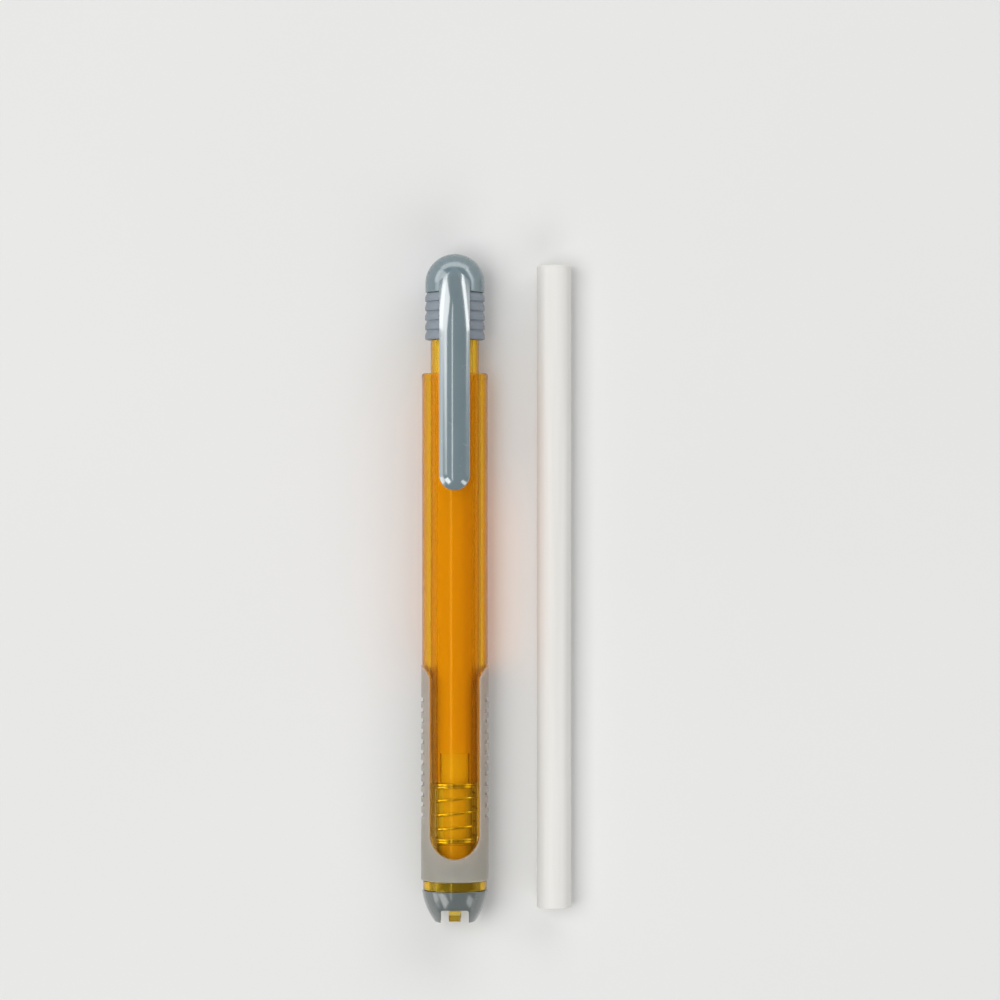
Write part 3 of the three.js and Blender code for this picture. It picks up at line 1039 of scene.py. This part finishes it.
@dataclass
class Grip:
    """Soft sleeve with the window, its two horns and twelve grooves at each side."""

    axis: Axis
    window: GripWindow
    bore: float = 5.88
    outer: float = 6.63
    front: float = 8.2
    front_round: float = 0.35
    edge: float = 0.28
    groove_count: int = 12
    groove_first: float = 21.0
    groove_pitch: float = 2.06
    groove_length: float = 0.87
    groove_depth: float = 0.35
    groove_height: float = 3.0
    groove_spread: float = 0.03
    groove_flank: float = 0.1
    groove_fade: float = 0.3
    horn_skin: float = 0.05
    least_half: float = math.radians(2)
    most_half: float = math.radians(88.5)

    # Where runs of rows begin or end, as distances from what lies beside them
    front_lead: float = 0.3
    window_lead: float = 0.4
    groove_lead: float = 0.8

    # Rows close before the window and at each side of a groove's middle, as distances from them
    near_rows: tuple[float, ...] = (0.2, 0.15, 0.1, 0.06, 0.03)
    groove_rows: tuple[float, ...] = (0.34, 0.37, 0.42, 0.47, 0.5)

    # Numbers of rows and columns, and the strip of close columns at a side's edges, as a share of the side
    front_rows: int = 8
    ahead_rows: int = 8
    round_rows: int = 30
    straight_rows: int = 4
    after_rows: int = 5
    flare_rows: int = 18
    window_columns: Span = (0.0, 0.5)
    side_columns: int = 46
    side_strip: float = 0.024

    def groove_middles(self) -> Array:
        """Stations of the grooves' middles."""
        return self.groove_first + self.groove_pitch * np.arange(self.groove_count)

    def groove(self, station: Array, height: Array) -> Array:
        """Side grooves: a row of flat-bottomed notches that fade out above and below the side.

        Args:
            station: millimetres along the pen.
            height: millimetres above the axis.

        Returns:
            The depth of the grooves at each point.
        """
        off = np.abs(station[..., None] - self.groove_middles()).min(axis=-1)
        along = np.clip((self.groove_length / 2 + self.groove_spread - off) / self.groove_flank, 0, 1)
        across = np.clip((self.groove_height - np.abs(height)) / self.groove_fade, 0, 1)
        return self.groove_depth * along * across

    def stations(self) -> tuple[Array, int]:
        """Rows from the front to the horns, close together at the roundings and at the grooves' flanks.

        Returns:
            The rows' stations, and the number of the row at the window's tip.
        """
        window, middles = self.window, self.groove_middles()
        ahead = (self.front + self.front_round + self.front_lead, window.front - self.window_lead)
        straight = (window.centre + self.groove_lead, self.groove_first - self.groove_lead)
        offsets = np.array(self.groove_rows)
        offsets = np.concatenate([-offsets[::-1], [0.0], offsets])
        before_window = [
            self.front + quarter(self.front_round, self.front_rows),
            np.linspace(*ahead, self.ahead_rows),
            window.front - np.array(self.near_rows),
        ]
        beside_window = [
            window.round_stations(0.0, self.round_rows),
            np.linspace(*straight, self.straight_rows),
            (middles[:, None] + offsets).ravel(),
            np.linspace(middles[-1] + self.groove_lead, window.flare_start, self.after_rows),
            np.linspace(window.flare_start, window.rear, self.flare_rows)[1:],
        ]
        return np.concatenate(before_window + beside_window), sum(len(run) for run in before_window)

    def form(self) -> Form:
        """A wall between two sheets, open at the window.

        The outer radius is the sleeve's own, less a quarter circle at the front, a rounded edge along the
        window and the grooves. The rounded edge lowers points in height alone. Both sheets keep to the
        window's plumb edge, so each has its own angle there, and the inner one leaves the bore where the
        horns lie outside it.

        Returns:
            The closed form.
        """
        station, tip = self.stations()
        along = station[:, None]
        half_width = self.window.half(station, 0.0)
        halves = [np.arcsin(np.clip(half_width / radius, 0, 1)) for radius in (self.outer, self.bore)]
        sides = side_shares(self.side_strip, self.side_columns)
        columns = RingColumns.between(np.array(self.window_columns), sides)
        angle, inner_angle = (columns.angles(np.clip(h, self.least_half, self.most_half)) for h in halves)
        behind = np.clip(self.front_round - (station - self.front), 0, None)
        ring = (self.outer - self.front_round + np.sqrt(self.front_round**2 - behind**2))[:, None]
        x = ring * np.sin(angle)
        depth = np.maximum(-self.window.depth(x, along, 0.0), 0)
        lowered = np.maximum(ring - eased(depth, self.edge), np.abs(x) / math.sin(self.most_half))
        lowered = np.minimum(lowered, ring)
        left = 1 - self.groove(along, self.outer * np.cos(angle)) / lowered
        outer = self.axis.place(x * left, along, plumb(x, lowered, angle) * left)
        flat = half_width[:, None] / np.maximum(np.abs(np.sin(inner_angle)), math.sin(self.least_half))
        flat = np.clip(flat, self.bore, self.outer - self.horn_skin)
        bore = np.where(half_width[:, None] > self.bore, flat, self.bore)
        inner = self.axis.turn(bore, along, inner_angle)
        return columns.wall(outer, inner, np.arange(len(station) - 1) < tip)

    def build(self, finishes: Finishes) -> None:
        """Makes and dresses the grip."""
        made = self.form().piece("soft_grip")
        dress(made, finishes.grip, Body.PEN, "grip")


@dataclass
class Nose:
    """Gloss nose: a round bowl with a notch for each jaw and a spigot into the barrel."""

    axis: Axis
    hole: float = 3.6
    tip: float = 3.9
    belly: float = 6.1
    belly_station: float = 3.0
    base: float = 6.45
    base_end: float = 6.3
    base_shoulder: float = 0.08
    base_soft: float = 0.03
    base_drop: float = 0.09
    base_step: float = 0.02
    lip: float = 0.25
    spigot: float = 5.06
    spigot_end: float = 11.8
    spigot_soft: float = 0.08
    throat: float = 4.46
    notch_half: float = 2.75
    notch_end: float = 2.65
    notch_round: float = 0.5
    edge: float = 0.12
    least_wall: float = 0.03
    most_sine: float = 0.98

    # The distance between two runs of rows
    lead: float = 0.1

    # Numbers of rows and columns, and the strip of close columns at a side's edges, as a share of the side
    bowl_points: int = 400
    lip_rows: int = 8
    flank_rows: int = 8
    corner_rows: int = 7
    shoulder_rows: int = 18
    notch_columns: int = 5
    notch_share: float = 0.8
    side_columns: int = 34
    side_strip: float = 0.03

    def outside(self) -> Array:
        """Outer profile: one parabola from the rounded lip to the base, then the spigot.

        Returns:
            Rows of radius and station.
        """
        shoulder_end = self.base_end - self.base_shoulder
        bowl = parabola(
            np.linspace(0, 1, self.bowl_points)[:, None],
            np.array([self.tip, 0.0]),
            np.array([self.belly, self.belly_station]),
            np.array([self.base, shoulder_end]),
        )
        turn = np.linspace(0, np.pi / 2, self.corner_rows)
        corner = self.notch_end - self.notch_round * (1 - np.sin(turn))
        runs = [
            quarter(self.lip, self.lip_rows),
            np.linspace(self.lip + self.lead, corner[0] - self.lead, self.flank_rows),
            corner,
            np.linspace(self.notch_end + self.lead, shoulder_end, self.shoulder_rows),
        ]
        station = np.concatenate(runs)
        radius = np.interp(station, bowl[:, 1], bowl[:, 0]) - eased(station, self.lip)
        back = [
            [self.base - self.base_soft, self.base_end - self.base_soft],
            [self.base - self.base_drop, self.base_end],
            [self.spigot, self.base_end + self.base_step],
            [self.spigot, self.base_end + self.lead],
            [self.spigot, self.spigot_end - self.lead],
            [self.spigot - self.spigot_soft, self.spigot_end],
        ]
        return np.concatenate([np.stack([radius, station], -1), np.array(back)])

    def form(self) -> Form:
        """A wall between the outer profile and the hole, open at the two notches.

        The hole is straight, opens by a cone up to the notch's end and goes on as the throat. Each notch is a
        slot with rounded corners, cut plumb, so the two sheets have their own angles at its edge.

        Returns:
            The closed form.
        """
        profile = self.outside()
        station, along, ring = profile[:, 1], profile[:, 1:], profile[:, :1]
        flare = self.notch_end - (self.throat - self.hole)
        bore = np.interp(station, [flare, self.notch_end], [self.hole, self.throat])
        past = np.clip(station - (self.notch_end - self.notch_round), 0, self.notch_round)
        width = self.notch_half - self.notch_round + np.sqrt(self.notch_round**2 - past**2)
        across = np.linspace(0, self.notch_share, self.notch_columns)
        columns = RingColumns.between(across, side_shares(self.side_strip, self.side_columns))
        angle = columns.angles(np.arcsin(np.clip(width / profile[:, 0], 0, self.most_sine)))
        inner_angle = columns.angles(np.arcsin(np.clip(width / bore, 0, self.most_sine)))
        x = ring * np.sin(angle)
        depth = np.maximum(np.abs(x) - width[:, None], along - self.notch_end)
        lowered = ring - eased(np.maximum(depth, 0), self.edge)
        radius = np.maximum(lowered, bore[:, None] + self.least_wall)
        outer = self.axis.place(x, along, plumb(x, radius, angle))
        inner = self.axis.turn(bore[:, None], along, inner_angle)
        return columns.wall(outer, inner, station[:-1] >= self.notch_end - LEVEL)

    def build(self, finishes: Finishes) -> None:
        """Makes and dresses the nose."""
        made = self.form().piece("gloss_nose")
        dress(made, finishes.nose, Body.PEN, "nose_cone")


@dataclass
class Clutch:
    """The clear inner tube, its two jaws and the return spring."""

    axis: Axis
    tube_bore: float = 3.55
    tube_outer: float = 4.75
    tube_front: float = 27.6
    tube_rear: float = 126.5
    tube_round: float = 0.12
    slot_half: float = 2.4
    settle: float = 10.0
    jaw_root: float = 33.3
    jaw_inner: float = 3.5
    jaw_stem: float = 4.0
    jaw_neck: float = 4.4
    jaw_tip: float = 0.35
    jaw_catch: float = 2.55
    jaw_round: float = 0.15
    jaw_edge: float = 0.1
    catch_step: float = 0.01
    catch_run: float = 0.1
    root_gap: float = 0.1
    wedge_end: float = 8.65
    head_half: float = 1.15
    stem_half: float = 2.1
    head_end: float = 3.2
    neck_end: float = 5.2
    head_low: float = 3.75
    head_slope: float = 0.4538
    flex_end: float = 12.0
    spring_radius: float = 4.5
    wire: float = 0.5
    spring_low: float = 15.91
    close_pitch: float = 0.49
    open_pitch: float = 2.8
    opening: float = 0.4
    turns: int = 6
    end_turn: float = 0.25
    spring_seat: float = 15.4
    spring_length: float = 12.2
    stroke: float = 6.0

    # Where runs of rows begin, as distances from the edge before them
    slot_lead: float = 0.3
    wedge_lead: float = 0.2

    # Numbers of rows and columns, and the strips of close columns at edges, as shares of the width
    round_rows: int = 5
    slot_rows: int = 9
    tube_rows: int = 40
    slot_columns: int = 10
    slot_share: float = 0.9
    tube_columns: int = 30
    tube_strip: float = 0.03
    head_rows: int = 9
    wedge_rows: int = 16
    stem_rows: int = 44
    jaw_columns: int = 18
    jaw_strip: float = 0.05
    pitch_points: int = 2001
    turn_rows: int = 52
    wire_columns: int = 14

    def tube_form(self) -> Form:
        """A wall between two cylinders with softened ends, open at the slots and in even columns behind them.

        Returns:
            The closed form.
        """
        soft = quarter(self.tube_round, self.round_rows)
        runs = [
            self.tube_front + soft,
            np.linspace(self.tube_front + self.slot_lead, self.jaw_root, self.slot_rows),
            np.linspace(self.jaw_root, self.tube_rear - self.tube_round, self.tube_rows)[1:],
            self.tube_rear - soft[::-1][1:],
        ]
        station = np.concatenate(runs)
        along = station[:, None]
        across = np.linspace(0, self.slot_share, self.slot_columns)
        columns = RingColumns.between(across, side_shares(self.tube_strip, self.tube_columns))
        even = np.clip((station - self.jaw_root) / self.settle, 0, 1)
        angle, inner_angle = (
            columns.settled(columns.angles(np.full(len(station), np.arcsin(self.slot_half / radius))), even)
            for radius in (self.tube_outer, self.tube_bore)
        )
        ends = np.minimum(along - self.tube_front, self.tube_rear - along)
        outer = self.axis.turn(self.tube_outer - eased(ends, self.tube_round), along, angle)
        inner = self.axis.turn(np.array(self.tube_bore), along, inner_angle)
        return columns.wall(outer, inner, station[:-1] >= self.jaw_root - LEVEL)

    def jaw_form(self, side: int) -> Form:
        """A curved finger: a head like the nose's cone, a catch, a wedge and a long stem.

        Its width is that of the head, grows along a straight taper and stays that of the stem. Across it, x
        is the width times a share from -1 to 1, and each sheet's height is the square root of its radius
        squared less x squared.

        Args:
            side: 1 for the upper finger and -1 for the lower.

        Returns:
            The closed form.
        """
        wedge_start = self.jaw_catch + self.catch_run
        runs = [
            np.linspace(self.jaw_tip, self.jaw_catch, self.head_rows),
            np.array([self.jaw_catch + self.catch_step, wedge_start]),
            np.linspace(self.jaw_catch + self.wedge_lead, self.wedge_end, self.wedge_rows),
            np.linspace(self.wedge_end, self.jaw_root - self.root_gap, self.stem_rows)[1:],
        ]
        station = np.concatenate(runs)
        along = station[:, None]
        grown = np.interp(station, [wedge_start, self.wedge_end], [self.jaw_neck, self.jaw_stem])
        top = np.where(station <= self.jaw_catch, self.head_low + self.head_slope * station, grown)
        top = top - eased(station - self.jaw_tip, self.jaw_round)
        width = np.interp(station, [self.head_end, self.neck_end], [self.head_half, self.stem_half])
        share = 2 * side_shares(self.jaw_strip, self.jaw_columns) - 1
        x = width[:, None] * share[None, :]
        radius = top[:, None] - eased(width[:, None] - np.abs(x), self.jaw_edge)
        outer = self.axis.place(x, along, side * np.sqrt(radius**2 - x**2))
        inner = self.axis.place(x, along, side * np.sqrt(self.jaw_inner**2 - x**2))
        solid = np.ones((len(station) - 1, len(share) - 1), bool)
        return thick_sheet(outer, inner, solid, wrap=False)

    def coil_stations(self, turn: Array) -> Array:
        """Stations of the wire: the running sum of a pitch that is close at both ends.

        Args:
            turn: turns from the first crossing of the pen's top.

        Returns:
            The station at each turn.
        """
        fine = np.linspace(-self.end_turn, self.turns + self.end_turn, self.pitch_points)
        opened = np.clip(np.minimum(fine - 1, self.turns - 1 - fine) / self.opening, 0, 1)
        pitch = self.close_pitch + (self.open_pitch - self.close_pitch) * opened
        height = np.concatenate([[0], np.cumsum((pitch[1:] + pitch[:-1]) / 2 * np.diff(fine))])
        return self.spring_low + np.interp(turn, fine, height - np.interp(0, fine, height))

    def spring_form(self) -> Form:
        """A round wire along a right-hand coil that crosses the top of the pen at every whole turn.

        The wire's section is carried along on the outward direction and on the one square to it and to the
        coil.

        Returns:
            The closed form, with its two ends drawn to points.
        """
        turn = np.linspace(-self.end_turn, self.turns + self.end_turn, self.turn_rows * self.turns)
        angle = 2 * np.pi * turn
        centre = self.axis.turn(np.array(self.spring_radius), self.coil_stations(turn), angle)
        along = np.gradient(centre, axis=0)
        along = along / np.linalg.norm(along, axis=1, keepdims=True)
        outward = np.stack([np.sin(angle), np.zeros_like(angle), np.cos(angle)], -1)
        square = np.cross(along, outward)
        around = np.linspace(0, 2 * np.pi, self.wire_columns, endpoint=False)[None, :, None]
        ring = np.cos(around) * outward[:, None] + np.sin(around) * square[:, None]
        thick = np.full(len(turn), self.wire / 2 * MM)
        thick[[0, -1]] = 0.0
        return ring_form(centre[:, None] + thick[:, None, None] * ring, closed=False)

    def build_jaw(self, side: int, body: Body, node: str, finishes: Finishes) -> None:
        """Makes a jaw and gives it its finish.

        Args:
            side: 1 for the upper finger and -1 for the lower.
            body: the body that the log names; the jaw is not hung on it.
            node: the node that it stands for.
            finishes: the finishes.
        """
        jaw = self.jaw_form(side).piece("clear_" + node)
        jaw.data.materials.append(finishes.clear)
        height = side * (self.jaw_inner + self.jaw_stem) / 2
        root = self.axis.point(self.jaw_root, height)
        free = self.axis.point(self.flex_end, height)
        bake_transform(jaw)
        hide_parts(node)
        LOG.info("%s stands for %s and bends with %s", jaw.name, node, body.value)

    def build(self, finishes: Finishes) -> None:
        """Makes and dresses the tube, the jaws and the spring.

        Args:
            finishes: the finishes.
        """
        tube = self.tube_form().piece("clear_inner_tube")
        dress(tube, finishes.clear, Body.PLUNGER, "plunger_tube")
        self.build_jaw(1, Body.UPPER_JAW, "jaw_top", finishes)
        self.build_jaw(-1, Body.LOWER_JAW, "jaw_bottom", finishes)
        spring = self.spring_form().piece("coil_spring")
        dress(spring, finishes.wire, Body.PEN, "return_spring")
        anchor = self.axis.point(self.spring_seat, 0.0)
        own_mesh(spring)


@dataclass
class PushEnd:
    """The ribbed sleeve and the domed cap with its pocket clip."""

    axis: Axis
    bore: float = 4.81
    rib_low: float = 5.5
    rib_high: float = 5.87
    rib_count: int = 5
    rib_pitch: float = 1.86
    rib_rise: float = 0.185
    rib_flat: float = 0.93
    rib_foot: float = 0.06
    sleeve_front: float = 114.2
    sleeve_gap: float = 0.1
    cap: float = 5.8
    cap_front: float = 123.5
    skirt_lead: float = 0.1
    skirt_round: float = 0.18
    mouth_round: float = 0.08
    dome_centre: float = 125.3
    pocket: float = 3.55
    pocket_front: float = 126.6
    pocket_end: float = 129.1
    clip_half: float = 3.0
    clip_end: float = 84.7
    clip_top: float = 8.9
    clip_thick: float = 1.6
    clip_drop: float = 1.32
    clip_rim: float = 0.03
    clip_chamfer: float = 0.2
    chamfer_in: float = 0.05
    bend_start: float = 115.5
    touch_degrees: float = 30.0
    dive: float = 0.9
    root_ahead: float = 0.35
    root_down: float = 1.9
    root_sink: float = 0.25
    root_thick: float = 0.2
    wall_layers: Span = (0.25, 0.75)
    bump_middle: float = 3.2
    bump_half: float = 2.0
    bump_depth: float = 0.95
    bump_sink: float = 0.4

    # Numbers of rows and columns, and the crown's last rows, as shares of the way to the outline
    ball_rows: int = 36
    path_points: int = 200
    crown_rows: int = 18
    crown_last: Triple = (0.94, 0.97, 0.99)
    under_rows: int = 8
    end_columns: int = 33
    run_columns: int = 110

    def sleeve_form(self) -> Form:
        """Five saw-tooth ribs, each steep at its front and sloping to its rear, turned about the axis.

        Returns:
            The closed form.
        """
        starts = self.sleeve_front + self.rib_pitch * np.arange(self.rib_count)
        tooth = [
            (self.rib_low, 0.0, self.rib_foot),
            (self.rib_high, self.rib_rise, SOFT),
            (self.rib_high, self.rib_flat, SOFT),
        ]
        teeth = [(radius, start + step, soft) for start in starts for radius, step, soft in tooth]
        rear = self.sleeve_front + self.rib_count * self.rib_pitch - self.sleeve_gap
        ends = [(self.rib_low, rear, FINE), (self.bore, rear, FINE), (self.bore, self.sleeve_front, FINE)]
        return turned(self.axis, rounded(teeth + ends, closed=True), closed=True)

    def dome_form(self) -> Form:
        """A half ball on a short skirt, hollow for the tube and for the end of the stick.

        Returns:
            The closed form.
        """
        polar = np.linspace(0, np.pi / 2, self.ball_rows)
        ball = np.stack([self.cap * np.sin(polar), self.dome_centre + self.cap * np.cos(polar)], -1)
        inside = rounded(
            [
                (self.cap, self.dome_centre - self.skirt_lead, SHARP),
                (self.cap, self.cap_front, self.skirt_round),
                (self.bore, self.cap_front, self.mouth_round),
                (self.bore, self.pocket_front, FINE),
                (self.pocket, self.pocket_front, FINE),
                (self.pocket, self.pocket_end, FINE),
                (0.0, self.pocket_end, SHARP),
            ],
            closed=False,
        )
        return turned(self.axis, np.concatenate([ball, inside]), closed=False)

    def clip_path(self) -> tuple[Array, Array, Array]:
        """The ridge of the clip seen from the side.

        It is a straight run, then a parabola that touches the dome, then a shorter one that dives under the
        dome's skin. The normals of the last one stay as they are at the touch, so that the buried root
        doesn't fold.

        Returns:
            Lengths along it, points of (station, height) and unit normals, as rows.
        """
        lean = math.radians(self.touch_degrees)
        touch = np.array([self.dome_centre + self.cap * math.sin(lean), self.cap * math.cos(lean)])
        corner = np.array([touch[0] - (self.clip_top - touch[1]) / math.tan(lean), self.clip_top])
        start = np.array([self.bend_start, self.clip_top])
        dive = touch + self.dive * np.array([math.cos(lean), -math.sin(lean)])
        root = dive + np.array([self.root_ahead, -self.root_down])
        run = np.linspace(self.clip_end, self.bend_start, self.path_points)
        straight = np.stack([run, np.full_like(run, self.clip_top)], -1)
        share = np.linspace(0, 1, self.path_points)[1:, None]
        under = parabola(share, touch, dive, root)
        line = np.concatenate([straight, parabola(share, start, corner, touch), under])
        length = np.concatenate([[0], np.cumsum(np.linalg.norm(np.diff(line, axis=0), axis=1))])
        step = np.gradient(line, length, axis=0)
        step[-len(under) :] = step[-len(under) - 1]
        return length, line, np.stack([-step[:, 1], step[:, 0]], -1)

    def clip_section(self) -> tuple[Array, Array, Array]:
        """Half a section of the clip from the ridge round to the middle of its underside.

        It is a parabola that falls from the ridge to the outline, a short wall, a chamfer and a flat
        underside.

        Returns:
            The three runs, as rows of the distance in from the outline and the height over the ridge.
        """
        half, low = self.clip_half, -self.clip_thick
        share = np.linspace(0, self.crown_last[0], self.crown_rows)
        share = np.concatenate([share, self.crown_last[1:]])
        crown = np.stack([half * (1 - share), -self.clip_drop * share**2], -1)
        wall = [
            [0.0, -self.clip_drop - self.clip_rim],
            [0.0, self.clip_chamfer + low],
            [self.chamfer_in, self.clip_chamfer / 3 + low],
        ]
        inwards = np.linspace(self.clip_chamfer, half, self.under_rows)
        return crown, np.array(wall), np.stack([inwards, np.full_like(inwards, low)], -1)

    def clip_form(self) -> Form:
        """A pillow of stadium outline bent along the clip's path.

        Each point lies as far in from the outline as its section says, and its height is laid off along the
        path's normal. The underside has a bump near the free end. Points of the root that lie deep in the
        dome are moved straight out from its middle, to a thin layer in its wall.

        Returns:
            The closed form.
        """
        length, line, normal = self.clip_path()
        crown, wall, under = self.clip_section()
        section = np.concatenate([crown, wall, under])
        is_under = np.arange(len(section)) >= len(section) - len(under)
        half, last = self.clip_half, length[-1] - self.clip_half
        turn = np.linspace(-np.pi / 2, np.pi / 2, self.end_columns)
        run = np.linspace(half, last, self.run_columns)[1:-1]
        ones = np.ones_like(run)
        centre = np.concatenate([np.full_like(turn, half), run, np.full_like(turn, last), run[::-1]])
        across = np.concatenate([np.sin(turn), ones, np.sin(turn[::-1]), -ones])
        ahead = np.concatenate([-np.cos(turn), 0 * ones, np.cos(turn), 0 * ones])
        out = (half - section[:, 0])[:, None]
        x = out * across[None, :]
        along = centre[None, :] + out * ahead[None, :]
        bump = 1 - ((along - self.bump_middle) / self.bump_half) ** 2
        sunk = np.minimum(0, self.bump_sink - self.bump_depth * bump)
        height = section[:, 1:] + np.where(is_under[:, None], sunk, 0)
        station, z = (
            np.interp(along, length, spot) + height * np.interp(along, length, lean)
            for spot, lean in zip(line.T, normal.T)
        )
        beyond = np.maximum(station - self.dome_centre, 0)
        wall_layer = np.linspace(*self.wall_layers, len(wall))
        layer = np.concatenate([np.zeros(len(crown)), wall_layer, np.ones(len(under))])
        buried = self.cap - self.root_sink - self.root_thick * layer[:, None]
        push = np.maximum(1, buried / np.sqrt(x**2 + z**2 + beyond**2))
        return ring_form(self.axis.place(x * push, station + beyond * (push - 1), z * push), closed=False)

    def build(self, finishes: Finishes) -> None:
        """Makes and dresses the sleeve and the cap with its clip.

        Args:
            finishes: the finishes.
        """
        sleeve = self.sleeve_form().piece("ribbed_sleeve")
        dress(sleeve, finishes.rib, Body.PLUNGER, "push_sleeve")
        cap = self.dome_form().joined(self.clip_form()).piece("cap_with_clip")
        dress(cap, finishes.gloss, Body.PLUNGER, "clip_cap")


@dataclass
class Sticks:
    """The eraser stick in the pen and the spare one beside it."""

    pen: Axis
    spare: Axis
    radius: float = 3.4
    length: float = 126.6
    chamfer: float = 0.2
    face_round: float = 0.06
    side_round: float = 0.12
    setback: float = 2.4

    def form(self, axis: Axis, start: float) -> Form:
        """A straight round stick with softened rims, turned about an axis.

        Args:
            axis: its axis.
            start: station of its front end.

        Returns:
            The closed form.
        """
        end = start + self.length
        profile = rounded(
            [
                (0.0, start, SHARP),
                (self.radius - self.chamfer, start, self.face_round),
                (self.radius, start + self.chamfer, self.side_round),
                (self.radius, end - self.chamfer, self.side_round),
                (self.radius - self.chamfer, end, self.face_round),
                (0.0, end, SHARP),
            ],
            closed=False,
        )
        return turned(axis, profile, closed=False)

    def build(self, finishes: Finishes) -> None:
        """Makes and dresses both sticks.

        Args:
            finishes: the finishes.
        """
        core = self.form(self.pen, self.setback).piece("eraser_stick")
        dress(core, finishes.vinyl, Body.STICK, "eraser_core")
        spare = self.form(self.spare, 0.0).piece("spare_stick")
        dress(spare, finishes.vinyl, Body.SPARE, "spare_refill")


@dataclass(frozen=True)
class Lamp:
    """A soft box that faces the object: spot is its middle, and size its length and height, in metres."""

    name: str
    spot: Triple
    size: Span
    watts: float
    shown: Shown

    def build(self) -> None:
        """Hangs the lamp up; only the surfaces that it works on see it."""
        data = bpy.data.lights.new(self.name, "AREA")
        data.shape = "RECTANGLE"
        data.size, data.size_y = self.size
        data.energy = self.watts
        lamp = add_object(self.name, data)
        lamp.location = self.spot
        lamp.rotation_euler = Vector(self.spot).to_track_quat("Z", "Y").to_euler()
        lamp.visible_glossy = self.shown is Shown.GLOSS
        lamp.visible_transmission = self.shown is Shown.GLOSS
        lamp.visible_diffuse = self.shown is Shown.MATT


LAMPS = (
    Lamp("key_box", (-0.8, 0.0, 1.6), (1.6, 1.2), 20.5, Shown.MATT),
    Lamp("front_fill", (0.4, -1.0, 0.7), (1.4, 0.5), 5.0, Shown.MATT),
    Lamp("rear_fill", (0.4, 1.0, 0.7), (1.4, 0.5), 5.0, Shown.MATT),
    Lamp("left_strip", (-0.79, 0.42, 0.41), (0.74, 0.72), 3.7, Shown.GLOSS),
    Lamp("left_low_strip", (-0.8, 0.0, 0.19), (1.5, 0.27), 1.15, Shown.GLOSS),
    Lamp("top_strip", (-0.3, 0.0, 1.15), (1.6, 0.12), 1.1, Shown.GLOSS),
    Lamp("right_strip", (0.75, 0.42, 0.27), (0.74, 0.2), 1.4, Shown.GLOSS),
    Lamp("right_low_strip", (0.8, 0.0, 0.07), (1.6, 0.1), 0.5, Shown.GLOSS),
    Lamp("rear_strip", (0.0, 1.0, 0.2), (1.8, 0.39), 5.5, Shown.GLOSS),
    Lamp("left_front_strip", (-0.78, -0.3, 0.22), (0.4, 0.34), 0.55, Shown.GLOSS),
    Lamp("front_left_strip", (-0.6, -0.5, 0.6), (0.55, 0.35), 1.6, Shown.GLOSS),
    Lamp("front_right_strip", (0.7, -0.55, 0.38), (0.25, 0.4), 0.55, Shown.GLOSS),
)


@dataclass
class Studio:
    """Pale floor, soft lamps and a camera straight above, as in the photograph."""

    axis: Axis
    millimetres_per_pixel: float = 0.1964
    lens: float = 135.0
    sensor: float = 36.0
    pixels: int = 1000
    centre_right: float = 8.85
    centre_station: float = 82.8
    floor_reach: float = 2.5
    sky: float = 0.25

    def floor(self) -> None:
        """A wide flat table top."""
        reach = self.floor_reach
        corners = [(-reach, -reach, 0), (reach, -reach, 0), (reach, reach, 0), (-reach, reach, 0)]
        mesh = bpy.data.meshes.new("pale_floor")
        mesh.from_pydata(corners, [], [(0, 1, 2, 3)])
        mesh.materials.append(PaleFloor("pale_floor").material())
        add_object("pale_floor", mesh)

    def world(self) -> None:
        """Even white light from all round."""
        world = bpy.data.worlds.new("studio")
        world.use_nodes = True
        sky = world.node_tree.nodes["Background"]
        sky.inputs["Color"].default_value = (1.0, 1.0, 1.0, 1)
        sky.inputs["Strength"].default_value = self.sky
        bpy.context.scene.world = world

    def camera(self) -> None:
        """A long lens straight above, at the height where a pixel is as wide as in the photograph."""
        data = bpy.data.cameras.new("camera")
        data.lens = self.lens
        data.sensor_width = self.sensor
        camera = add_object("camera", data)
        width = self.pixels * self.millimetres_per_pixel * MM
        away = width * self.lens / self.sensor
        x = self.axis.x + self.centre_right * MM
        camera.location = (x, self.axis.tip + self.centre_station * MM, self.axis.z + away)
        bpy.context.scene.camera = camera

    def build(self) -> None:
        """Sets the stage."""
        bpy.context.scene.view_settings.view_transform = "Standard"
        self.floor()
        for lamp in LAMPS:
            lamp.build()
        self.world()
        self.camera()


def main() -> None:
    """Builds the studio and every piece."""
    logging.basicConfig(level=logging.INFO, format="%(name)s: %(message)s")
    pen = Axis.of_pen()
    window = GripWindow()
    finishes = Finishes(pen)
    Studio(pen).build()
    Barrel(pen, window).build(finishes)
    Grip(pen, window).build(finishes)
    Nose(pen).build(finishes)
    Clutch(pen).build(finishes)
    PushEnd(pen).build(finishes)
    Sticks(pen, Axis.of_spare()).build(finishes)


if __name__ == "__main__":
    main()
